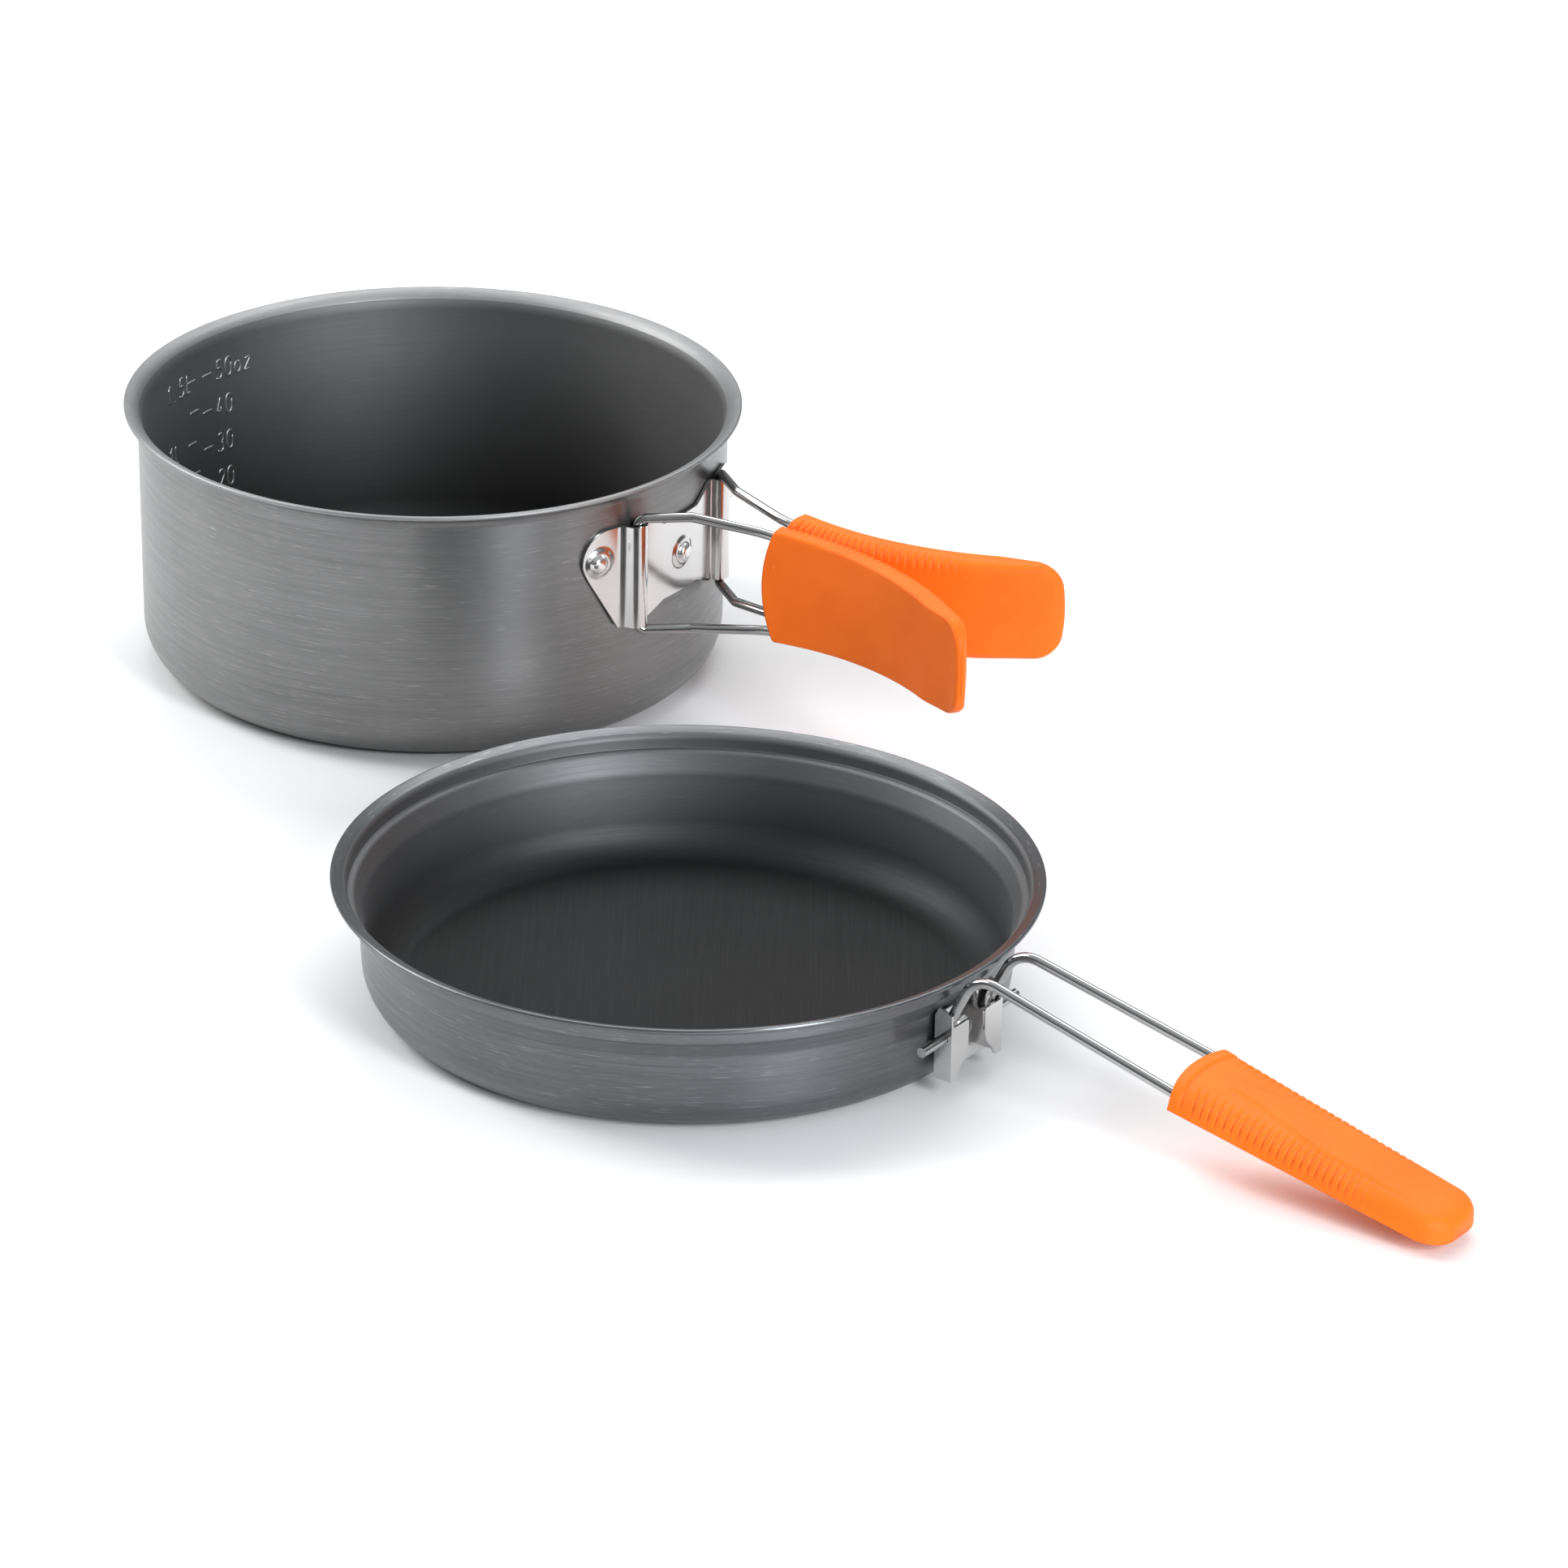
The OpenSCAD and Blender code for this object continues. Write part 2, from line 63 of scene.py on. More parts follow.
POT_LOW, POT_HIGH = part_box("pot_shell")
PAN_LOW, PAN_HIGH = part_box("pan_shell")
POT_H = POT_HIGH.z
PAN_H = PAN_HIGH.z
PAN_RIM_R = (PAN_HIGH.x - PAN_LOW.x) / 2
PAN_CENTRE = (PAN_HIGH + PAN_LOW) / 2

SHEET = 1.4 * MM
POT_WALL_R = 89.4 * MM
POT_TAPER = 1.2 * MM
POT_CORNER_R = 14 * MM
POT_CURL_R = 4.8 * MM
POT_CURL_TURN = 78
# The rim stays this far inside the CAD's box
RIM_INSET = 0.05 * MM
PAN_WALL_R = 92 * MM
PAN_TAPER = 1.6 * MM
PAN_CORNER_R = 12 * MM
# Height at which the pan's wall turns out to its ledge
PAN_STEP_Z = PAN_H - 11.6 * MM

# The pot's bracket: its middle direction, hinge lines, tubes and rivets
BRACKET_AZ = -32.4
PLATE = 1 * MM
PLATE_R = POT_WALL_R + 0.1 * MM + PLATE / 2
HINGE_AZ = 13.85
HINGE_R = 92 * MM
TUBE_LOW = 38 * MM
TUBE_LEN = 32.4 * MM
TUBE_TOP = TUBE_LOW + TUBE_LEN
TUBE_R = 3 * MM
RIVET_MID_Z = 54.4 * MM
RIVET_SIDE_Z = 60.6 * MM
RIVET_SIDE_AZ = 22.6
RIVET_HEAD_R = 3 * MM

# Handle wire and the pot handles' grips, drawn folded round the pot and turned out
WIRE_R = 1.5 * MM
# The wires are drawn a hair thinner than their CAD nodes
WIRE_DRAWN_R = WIRE_R * 0.985
HANDLE_OPEN = 138
GRIP_FROM = 23.7
GRIP_TO = 77.6
GRIP_T = 7.7 * MM
GRIP_R = POT_WALL_R + 0.7 * MM + GRIP_T / 2
TUBE_MID_Z = TUBE_LOW + TUBE_LEN / 2
GRIP_MID_START = 54.9 * MM
GRIP_MID_END = 53.6 * MM
GRIP_H_START = 35.8 * MM
GRIP_H_END = 29.8 * MM

# The pan's handle, with x pointing outwards from the pan's axis
PAN_HANDLE_AZ = -35
PIN_R = 95 * MM
PIN_Z = 18.5 * MM
PIN_END = 22.9 * MM
LEG_Y = 9.5 * MM
LEG_BEND_Z = 22.4 * MM
GRIP_WIRE_Y = 12 * MM
WIRE_SINK = Vector((0, 0, -0.7 * MM))
SLOPE = 12.15
SHOULDER = (103.65 * MM, 39.4 * MM)
HANDLE_LEN = 153.3 * MM
PAN_GRIP_LEN = 85.1 * MM
PAN_GRIP_W_START = 31.6 * MM
PAN_GRIP_W_END = 24.4 * MM
PAN_GRIP_T = 8 * MM
PAN_RIVET_Z = 16.6 * MM


# ---- small geometry tools ----

def polar(r, az, z=0.0):
    return Vector((r * cos(radians(az)), r * sin(radians(az)), z))


def ramp(low, high, x):
    return min(1.0, max(0.0, (x - low) / (high - low)))


def smooth(low, high, x):
    t = ramp(low, high, x)
    return t * t * (3 - 2 * t)


def left_of(d):
    return Vector((-d.y, d.x))


def corner(p, q, s, r, off, steps):
    """Points of the rounded corner at q on the way from p to s, off to the left of that path."""
    d, e = (q - p).normalized(), (s - q).normalized()
    turn = acos(min(1, max(-1, d.dot(e))))
    if r == 0 or turn < 1e-6:
        return [q + (left_of(d) + left_of(e)).normalized() * off / cos(turn / 2)]
    way = 1 if d.x * e.y - d.y * e.x > 0 else -1
    centre = q - d * r * tan(turn / 2) + left_of(d) * way * r
    n = left_of(d) * -way
    points = []
    for i in range(steps + 1):
        a = way * turn * i / steps
        turned = Vector((n.x * cos(a) - n.y * sin(a), n.x * sin(a) + n.y * cos(a)))
        points.append(centre + (r - way * off) * turned)
    return points


def sheet_face(points, bends, off, steps):
    out = [points[0] + left_of((points[1] - points[0]).normalized()) * off]
    for i in range(1, len(points) - 1):
        out += corner(points[i - 1], points[i], points[i + 1], bends[i], off, steps)
    return out


def sheet_outline(points, bends, t, steps):
    """Outer face, round lip and inner face of a bent sheet, and how many points the outer face has."""
    d = (points[-1] - points[-2]).normalized()
    start = atan2(d.y, d.x) - pi / 2
    outer = sheet_face(points, bends, -t / 2, steps)
    inner = sheet_face(points, bends, t / 2, steps)
    lip = [points[-1] + t / 2 * Vector((cos(start + pi * i / steps), sin(start + pi * i / steps)))
           for i in range(steps + 1)]
    return outer + lip + inner[::-1], len(outer)


def bent_path(points, radii, closed, steps=10):
    """Wire centre line through 3D corner points with a round bend at each of them."""
    n = len(points)
    out = []
    for i in range(n):
        p, q, s = points[i - 1], points[i], points[(i + 1) % n]
        if not closed and i in (0, n - 1):
            out.append(q.copy())
            continue
        u, v = (q - p).normalized(), (s - q).normalized()
        turn = acos(min(1, max(-1, u.dot(v))))
        w = (v - u * u.dot(v)).normalized()
        r = radii[i]
        centre = q - u * r * tan(turn / 2) + w * r
        count = max(2, int(steps * turn))
        angles = [turn * k / count for k in range(count + 1)]
        out += [centre + r * (-w * cos(a) + u * sin(a)) for a in angles]
    return out


def make_object(name, verts, faces, materials, face_slots=None, flat=False):
    mesh = bpy.data.meshes.new(name)
    mesh.from_pydata([tuple(v) for v in verts], [], faces)
    for m in materials:
        mesh.materials.append(m)
    if face_slots:
        mesh.polygons.foreach_set("material_index", face_slots)
    mesh.polygons.foreach_set("use_smooth", [not flat] * len(mesh.polygons))
    mesh.validate()
    mesh.update()
    obj = bpy.data.objects.new(name, mesh)
    bpy.context.scene.collection.objects.link(obj)
    return obj


def put(obj, body, slot, *nodes):
    """The piece rides on a body and may stand for CAD nodes, which it hides; the slot argument is not used.
    """
    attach(obj, body)
    if nodes:
        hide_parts(*nodes)
    return obj


def sharp_edges(obj, angle=35):
    obj.data.set_sharp_from_angle(angle=radians(angle))


def lathe(name, outline, steps, matrix, materials, slot_of=None, closed=True):
    """Turned piece: outline points are (radius, height); points on the axis are joined into one."""
    verts, rings = [], []
    for p in outline:
        if p.x < 1e-7:
            rings.append([len(verts)])
            verts.append(matrix @ Vector((0, 0, p.y)))
            continue
        rings.append(list(range(len(verts), len(verts) + steps)))
        verts += [matrix @ Vector((p.x * cos(2 * pi * k / steps), p.x * sin(2 * pi * k / steps), p.y))
                  for k in range(steps)]
    faces, slots = [], []
    pairs = len(rings) if closed else len(rings) - 1
    for i in range(pairs):
        a, b = rings[i], rings[(i + 1) % len(rings)]
        if len(a) == 1 and len(b) == 1:
            continue
        for k in range(steps):
            j = (k + 1) % steps
            if len(a) == 1:
                faces.append((a[0], b[j], b[k]))
            elif len(b) == 1:
                faces.append((a[k], a[j], b[0]))
            else:
                faces.append((a[k], a[j], b[j], b[k]))
            slots.append(slot_of(i) if slot_of else 0)
    return make_object(name, verts, faces, materials, slots)


def sweep(name, path, radius, sides, closed, material):
    """Round wire along a path, with the section carried along without twist."""
    n = len(path)
    ahead = [(path[(i + 1) % n] - path[i - 1]).normalized() if closed or 0 < i < n - 1
             else ((path[1] - path[0]) if i == 0 else (path[-1] - path[-2])).normalized() for i in range(n)]
    side = ahead[0].orthogonal().normalized()
    verts, faces = [], []
    for i in range(n):
        side = (side - ahead[i] * side.dot(ahead[i])).normalized()
        up = ahead[i].cross(side)
        for k in range(sides):
            a = 2 * pi * k / sides
            verts.append(path[i] + radius * (side * cos(a) + up * sin(a)))
    last = n if closed else n - 1
    # The carried section can come back turned, so the seam takes the nearest start point
    turn_back = 0
    if closed:
        turn_back = min(range(sides), key=lambda t: (verts[(n - 1) * sides] - verts[t]).length)
    for i in range(last):
        j = (i + 1) % n
        shift = turn_back if j == 0 else 0
        for k in range(sides):
            a, b = i * sides + k, i * sides + (k + 1) % sides
            c = j * sides + (k + 1 + shift) % sides
            d = j * sides + (k + shift) % sides
            faces.append((a, b, c, d))
    if not closed:
        faces.append(tuple(range(sides))[::-1])
        faces.append(tuple((n - 1) * sides + k for k in range(sides)))
    return make_object(name, verts, faces, [material])


def loft(name, rings, materials):
    """Closed body from rings of equally many points, with a fan over each end."""
    m = len(rings[0])
    verts = [v for ring in rings for v in ring]
    faces = []
    for i in range(len(rings) - 1):
        for k in range(m):
            j = (k + 1) % m
            faces.append((i * m + k, i * m + j, (i + 1) * m + j, (i + 1) * m + k))
    for ring, first, flip in ((rings[0], 0, False), (rings[-1], (len(rings) - 1) * m, True)):
        middle = len(verts)
        verts.append(sum(ring, Vector((0, 0, 0))) / m)
        for k in range(m):
            pair = (first + k, first + (k + 1) % m)
            faces.append((middle, *pair) if flip else (middle, *pair[::-1]))
    return make_object(name, verts, faces, materials)


# ---- materials ----

class Nodes:
    """A new node material with a Principled shader, and short ways to add nodes to it."""

    def __init__(self, name):
        self.material = bpy.data.materials.new(name)
        self.material.use_nodes = True
        self.tree = self.material.node_tree
        self.shader = self.tree.nodes["Principled BSDF"]

    def link(self, value, socket):
        if isinstance(value, bpy.types.NodeSocket):
            self.tree.links.new(value, socket)
        else:
            socket.default_value = value

    def coords(self, centre=(0, 0, 0)):
        node = self.tree.nodes.new("ShaderNodeTexCoord")
        return self.vector("SUBTRACT", node.outputs["Object"], centre)

    def vector(self, operation, a, b):
        node = self.tree.nodes.new("ShaderNodeVectorMath")
        node.operation = operation
        self.link(a, node.inputs[0])
        self.link(b, node.inputs[1])
        return node.outputs["Value" if operation in ("LENGTH", "DOT_PRODUCT") else "Vector"]

    def maths(self, operation, a, b=0.0, c=0.0):
        node = self.tree.nodes.new("ShaderNodeMath")
        node.operation = operation
        for value, socket in zip((a, b, c), node.inputs):
            self.link(value, socket)
        return node.outputs[0]

    def joined(self, value):
        node = self.tree.nodes.new("ShaderNodeCombineXYZ")
        for socket in node.inputs:
            self.link(value, socket)
        return node.outputs[0]

    def parts(self, vector):
        node = self.tree.nodes.new("ShaderNodeSeparateXYZ")
        self.link(vector, node.inputs[0])
        return node.outputs

    def noise(self, vector, stretch, detail=2.0, roughness=0.5, distortion=0.0):
        """Noise in 0..1; stretch is how many features per metre along each axis."""
        node = self.tree.nodes.new("ShaderNodeTexNoise")
        self.link(self.vector("MULTIPLY", vector, stretch), node.inputs["Vector"])
        node.inputs["Scale"].default_value = 1.0
        node.inputs["Detail"].default_value = detail
        node.inputs["Roughness"].default_value = roughness
        node.inputs["Distortion"].default_value = distortion
        return node.outputs["Fac"]

    def span(self, value, low, high, to_low=0.0, to_high=1.0):
        node = self.tree.nodes.new("ShaderNodeMapRange")
        for item, socket in zip((value, low, high, to_low, to_high), node.inputs):
            self.link(item, socket)
        return node.outputs["Result"]

    def mix(self, factor, a, b):
        node = self.tree.nodes.new("ShaderNodeMix")
        node.data_type = "RGBA"
        self.link(factor, node.inputs["Factor"])
        self.link(a, node.inputs[6])
        self.link(b, node.inputs[7])
        return node.outputs[2]

    def bump(self, height, distance, strength=1.0):
        node = self.tree.nodes.new("ShaderNodeBump")
        node.inputs["Strength"].default_value = strength
        node.inputs["Distance"].default_value = distance
        self.link(height, node.inputs["Height"])
        self.link(node.outputs["Normal"], self.shader.inputs["Normal"])


def grey(value, blue=0.0):
    return (value, value * (1 + blue * 0.5), value * (1 + blue), 1)


def brushed_aluminium(name, centre, base, blue, strength, roughness, grain=0.75, floor=(-1, 1, 1)):
    """Hard-anodised sheet: fine scratches run round the wall, and straight across the base. Towards the floor
    the colour darkens as painted shade.
    """
    n = Nodes(name)
    at = n.coords(centre)
    z = n.parts(at)["Z"]
    floor_z, shade_top, painted_shade_tone = floor
    on_floor = n.span(z, floor_z + 0.8 * MM, floor_z - 0.2 * MM)
    on_wall = n.maths("SUBTRACT", 1.0, on_floor)
    round_fine = n.noise(at, (30, 30, 3600), 3.0, 0.65)
    round_broad = n.noise(at, (14, 14, 700), 3.0, 0.6)
    across = n.noise(at, (2200, 26, 40), 3.0, 0.6)
    short = n.noise(at, (150, 150, 3400), 1.0, 0.5)
    cloud = n.noise(at, (28, 28, 28), 3.0, 0.55)
    wall_lines = n.maths("MULTIPLY_ADD", round_fine, 0.55, n.maths("MULTIPLY", round_broad, 0.45))
    lines = n.maths("ADD", n.maths("MULTIPLY", wall_lines, on_wall), n.maths("MULTIPLY", across, on_floor))
    scratch = n.maths("MULTIPLY", n.span(short, 0.64, 0.76), on_wall)
    tone = n.maths("MULTIPLY_ADD", n.span(lines, 0.25, 0.75), 2 * strength, 1 - strength)
    tone = n.maths("MULTIPLY", tone, n.span(cloud, 0.3, 0.7, 0.94, 1.06))
    tone = n.maths("MULTIPLY_ADD", scratch, 2.6 * strength, tone)
    # Painted shade: from shade_top down to the floor the colour darkens, standing in for the shade low down
    # in the vessel.
    tone = n.maths("MULTIPLY", tone, n.span(z, floor_z, shade_top, painted_shade_tone, 1.0))
    colour = n.mix(n.maths("MULTIPLY", tone, 0.5), (0, 0, 0, 1), grey(2 * base, blue))
    n.link(colour, n.shader.inputs["Base Color"])
    n.shader.inputs["Metallic"].default_value = 0.9
    n.shader.inputs["Anisotropic"].default_value = grain
    lengthwise = n.vector("MULTIPLY", n.joined(on_floor), (0, 1, -1))
    n.link(n.vector("ADD", (0, 0, 1), lengthwise), n.shader.inputs["Tangent"])
    rough = n.maths("MULTIPLY_ADD", n.span(lines, 0.25, 0.75), -0.10, roughness + 0.05)
    n.link(rough, n.shader.inputs["Roughness"])
    n.bump(n.maths("ADD", lines, n.maths("MULTIPLY", scratch, 0.5)), 0.04 * MM, 0.3)
    return n.material


def stainless(name, base, roughness, grain):
    """Polished stainless steel: faint scratches in all directions and slightly uneven gloss."""
    n = Nodes(name)
    at = n.coords()
    fine = n.noise(at, (260, 260, 2600), 3.0, 0.6)
    cross = n.noise(at, (1900, 1900, 240), 2.0, 0.5)
    smudge = n.noise(at, (90, 90, 90), 4.0, 0.6, 0.4)
    marks = n.maths("MULTIPLY_ADD", cross, 0.35, n.maths("MULTIPLY", fine, 0.65))
    tone = n.span(smudge, 0.3, 0.7, 0.94, 1.04)
    n.link(n.mix(n.maths("MULTIPLY", tone, 0.5), (0, 0, 0, 1), grey(2 * base, -0.025)),
           n.shader.inputs["Base Color"])
    n.shader.inputs["Metallic"].default_value = 1.0
    gloss = n.span(smudge, 0.3, 0.75, roughness * 0.75, roughness * 1.3)
    rough = n.maths("MULTIPLY_ADD", marks, grain, gloss)
    n.link(rough, n.shader.inputs["Roughness"])
    n.bump(marks, 0.012 * MM, 0.25)
    return n.material


def silicone(name):
    """Matte orange silicone rubber with a very fine moulded grain."""
    n = Nodes(name)
    at = n.coords()
    grain = n.noise(at, (2600, 2600, 2600), 2.0, 0.6)
    cloud = n.noise(at, (45, 45, 45), 3.0, 0.55)
    dust = n.span(n.noise(at, (620, 620, 620), 1.0, 0.4), 0.74, 0.80)
    tone = n.span(cloud, 0.3, 0.7)
    deep, light = (0.82, 0.138, 0.006, 1), (0.88, 0.163, 0.008, 1)
    dusty = n.mix(n.maths("MULTIPLY", dust, 0.25), n.mix(tone, deep, light), (0.92, 0.30, 0.07, 1))
    n.link(dusty, n.shader.inputs["Base Color"])
    n.link(n.span(grain, 0.3, 0.7, 0.50, 0.60), n.shader.inputs["Roughness"])
    n.shader.inputs["Specular IOR Level"].default_value = 0.2
    n.shader.inputs["Subsurface Weight"].default_value = 0.12
    n.shader.inputs["Subsurface Radius"].default_value = (0.0025, 0.0008, 0.0002)
    n.shader.inputs["Subsurface Scale"].default_value = 1.0
    n.shader.inputs["Sheen Weight"].default_value = 0.03
    n.shader.inputs["Sheen Roughness"].default_value = 0.5
    n.bump(n.maths("MULTIPLY_ADD", cloud, 0.3, grain), 0.03 * MM, 0.3)
    return n.material


def floor_material():
    n = Nodes("floor_white")
    at = n.coords()
    tone = n.span(n.noise(at, (3, 3, 3), 2.0, 0.5), 0.3, 0.7)
    n.link(n.mix(tone, (0.86, 0.86, 0.86, 1), (0.88, 0.88, 0.88, 1)), n.shader.inputs["Base Color"])
    n.shader.inputs["Roughness"].default_value = 0.7
    n.shader.inputs["Specular IOR Level"].default_value = 0.2
    return n.material


POT_OUT = brushed_aluminium("pot_brushed_outside", (0, 0, 0), 0.205, -0.01, 0.2, 0.34)
# The pot's inside darkens over its lowest 70 mm towards the floor as painted shade.
POT_IN = brushed_aluminium("pot_matte_inside", (0, 0, 0), 0.185, 0.0, 0.05, 0.64, 0.3, (SHEET, 70 * MM, 0.16))
# Painted highlight: the rim's inner side takes a lighter grey than the pot's walls.
POT_RIM = brushed_aluminium("pot_rim_painted_highlight", (0, 0, 0), 0.30, 0.0, 0.08, 0.55, 0.3)
PAN_OUT = brushed_aluminium("pan_brushed_outside", PAN_CENTRE, 0.14, 0.08, 0.26, 0.34)
PAN_FLOOR_Z = SHEET - PAN_CENTRE.z
# The pan's inside darkens over its lowest 21 mm towards the floor as painted shade.
PAN_IN = brushed_aluminium("pan_matte_inside", PAN_CENTRE, 0.15, 0.04, 0.07, 0.58, 0.3,
                           (PAN_FLOOR_Z, PAN_FLOOR_Z + 21 * MM, 0.14))
STEEL_PLATE = stainless("stainless_plate_polished", 0.62, 0.13, 0.10)
# Painted shade: the wire's steel takes a darker grey than the plate's, standing in for the dark surroundings
# the wires reflect.
STEEL_WIRE = stainless("stainless_wire_painted_dark", 0.42, 0.12, 0.08)
RIVET = stainless("rivet_bright", 0.74, 0.18, 0.10)
MARKS = stainless("stamped_marks", 0.42, 0.42, 0.10)
ORANGE = silicone("orange_silicone_matte")


# ---- vessels ----

def vessel(name, centre, points, bends, materials, rim_z):
    """Bent sheet turned round the axis.

    The materials are the outside, the inside and, above rim_z, the rim's inner side.
    """
    outline, outer_count = sheet_outline([Vector(p) for p in points], bends, SHEET, 12)
    matrix = Matrix.Translation((centre.x, centre.y, 0))
    lip_half = 6

    def slot_of(i):
        if i < outer_count + lip_half // 2:
            return 0
        return 2 if outline[i + 1].y > rim_z else 1

    return lathe(name, outline, 384, matrix, materials, slot_of, closed=False)


def pot_wall_top():
    half = radians(POT_CURL_TURN / 2)
    return Vector((POT_WALL_R - SHEET / 2,
                   POT_H - RIM_INSET - SHEET / 2 - (POT_CURL_R * tan(half) + 0.15 * MM) * cos(2 * half)))


def make_pot():
    top = pot_wall_top()
    turn = radians(POT_CURL_TURN)
    lip = top + Vector((sin(turn), cos(turn))) * (POT_CURL_R * tan(turn / 2) + 0.3 * MM - RIM_INSET)
    points = [(0, SHEET / 2), (top.x - POT_TAPER, SHEET / 2), top, lip]
    bends = [0, POT_CORNER_R - SHEET / 2, POT_CURL_R, 0]
    pot = vessel("pot", Vector((0, 0, 0)), points, bends, [POT_OUT, POT_IN, POT_RIM], POT_H - 2.6 * MM)
    return put(pot, "pot", "pot_aluminium", "pot_shell")


def make_pan():
    wall = PAN_WALL_R - SHEET / 2
    points = [
        (0, SHEET / 2), (wall - PAN_TAPER, SHEET / 2), (wall, PAN_STEP_Z),
        (PAN_RIM_R - 6.2 * MM, PAN_H - 6.2 * MM), (PAN_RIM_R - 4.2 * MM, PAN_H - 6 * MM),
        (PAN_RIM_R - 3.9 * MM, PAN_H - 2 * MM), (PAN_RIM_R - SHEET / 2, PAN_H - SHEET / 2),
    ]
    bends = [0, PAN_CORNER_R - SHEET / 2, 5 * MM, 0.9 * MM, 0.9 * MM, 1.5 * MM, 0]
    pan = vessel("pan", PAN_CENTRE, points, bends, [PAN_OUT, PAN_IN, PAN_OUT], PAN_H - 1.2 * MM)
    return put(pan, "pan", "pan_aluminium", "pan_shell")


# ---- stamped volume marks inside the pot ----

def arc_points(cx, cy, rx, ry, start, end, count=10):
    return [(cx + rx * cos(radians(start + (end - start) * i / count)),
             cy + ry * sin(radians(start + (end - start) * i / count))) for i in range(count + 1)]


# Strokes of each figure in a box 1 wide and 2 high, drawn with straight lines and arcs
GLYPHS = {
    "0": [arc_points(0.5, 1.4, 0.42, 0.55, 0, 180) + arc_points(0.5, 0.6, 0.42, 0.55, 180, 360)
          + [(0.92, 1.4)]],
    "1": [[(0.15, 1.5), (0.6, 1.95), (0.6, 0.05)]],
    "2": [arc_points(0.5, 1.45, 0.4, 0.5, 170, -35) + [(0.08, 0.05), (0.95, 0.05)]],
    "3": [arc_points(0.45, 1.48, 0.42, 0.47, 150, -75), arc_points(0.45, 0.55, 0.47, 0.5, 75, -150)],
    "4": [[(0.85, 0.5), (0.05, 0.5), (0.55, 1.95)], [(0.65, 0.95), (0.65, 0.05)]],
    "5": [[(0.9, 1.95), (0.2, 1.95), (0.12, 1.1)] + arc_points(0.42, 0.62, 0.5, 0.57, 120, -140)],
    "o": [arc_points(0.5, 0.65, 0.42, 0.58, 90, 450, 16)],
    "z": [[(0.1, 1.25), (0.9, 1.25), (0.08, 0.05), (0.95, 0.05)]],
    "L": [[(0.15, 1.95), (0.15, 0.05), (0.85, 0.05)]],
    ".": [[(0.4, 0.05), (0.5, 0.05)]],
    "-": [[(0.0, 0.0), (1.7, 0.0)]],
}
GLYPH_W = 2.9 * MM
GLYPH_H = 6.4 * MM
GLYPH_STEP = 1.38
STROKE_R = 0.46 * MM


def inner_wall_r(z):
    return POT_WALL_R - SHEET - POT_TAPER * (1 - z / pot_wall_top().y)


def stroke_mesh(verts, faces, points, az, z0, sides=8):
    """One raised stroke on the wall: a flat-bottomed bead along the points, thinning at both ends."""
    fine = []
    for a, b in zip(points, points[1:]):
        gap = sqrt((b[0] - a[0]) ** 2 + (b[1] - a[1]) ** 2)
        count = max(1, int(gap / 0.12))
        fine += [(a[0] + (b[0] - a[0]) * i / count, a[1] + (b[1] - a[1]) * i / count) for i in range(count)]
    fine.append(points[-1])
    n = len(fine)
    base = len(verts)
    for i, (x, y) in enumerate(fine):
        x0, y0 = fine[max(0, i - 1)]
        x1, y1 = fine[min(n - 1, i + 1)]
        dx, dy = (x1 - x0) * GLYPH_W, (y1 - y0) * GLYPH_H / 2
        size = max(1e-9, sqrt(dx * dx + dy * dy))
        tx, ty = -dy / size, dx / size
        end = min(i, n - 1 - i)
        r = STROKE_R * (0.45, 0.85, 1.0)[min(end, 2)]
        for k in range(sides):
            a = 2 * pi * k / sides
            u = x * GLYPH_W + tx * r * cos(a)
            v = y * GLYPH_H / 2 + ty * r * cos(a)
            z = z0 + v
            wall = inner_wall_r(z)
            verts.append(polar(wall - r * 0.85 * sin(a) + 0.08 * MM, az - degrees(u / wall), z))
    for i in range(n - 1):
        for k in range(sides):
            a, b = base + i * sides + k, base + i * sides + (k + 1) % sides
            faces.append((a, a + sides, b + sides, b))
    faces.append(tuple(base + k for k in range(sides)))
    faces.append(tuple(base + (n - 1) * sides + k for k in range(sides))[::-1])


def write_mark(verts, faces, text, az, z0):
    for i, glyph in enumerate(text):
        for points in GLYPHS[glyph]:
            stroke_mesh(verts, faces, [(x + i * GLYPH_STEP, y) for x, y in points], az, z0)


def make_marks():
    """Ounces on one side and litres on the other, each with its own short line."""
    verts, faces = [], []
    oz_step = 12.1 * MM
    oz_top = 68.5 * MM
    litre_step = 500 / 295.7 * oz_step
    litre_top = oz_top + 0.3 * MM
    for i, text in enumerate(("50oz", "40", "30", "20", "10")):
        z = oz_top - i * oz_step
        write_mark(verts, faces, "-", 147.0, z)
        write_mark(verts, faces, text, 142.6, z - 0.5 * GLYPH_H)
    for i, text in enumerate(("1.5L", "1L", ".5L")):
        z = litre_top - i * litre_step
        write_mark(verts, faces, "-", 152.4, z)
        write_mark(verts, faces, text, 160.5, z - 0.5 * GLYPH_H)
    for i in range(1, 5, 2):
        z = litre_top - i * litre_step / 2
        write_mark(verts, faces, "-", 151.5, z)
    marks = make_object("pot_volume_marks", verts, faces, [MARKS])
    return put(marks, "pot", "pot_aluminium")


# ---- the pot's bracket and rivets, with +X along the bracket's middle ----

def at_bracket():
    return Matrix.Rotation(radians(BRACKET_AZ), 4, "Z")


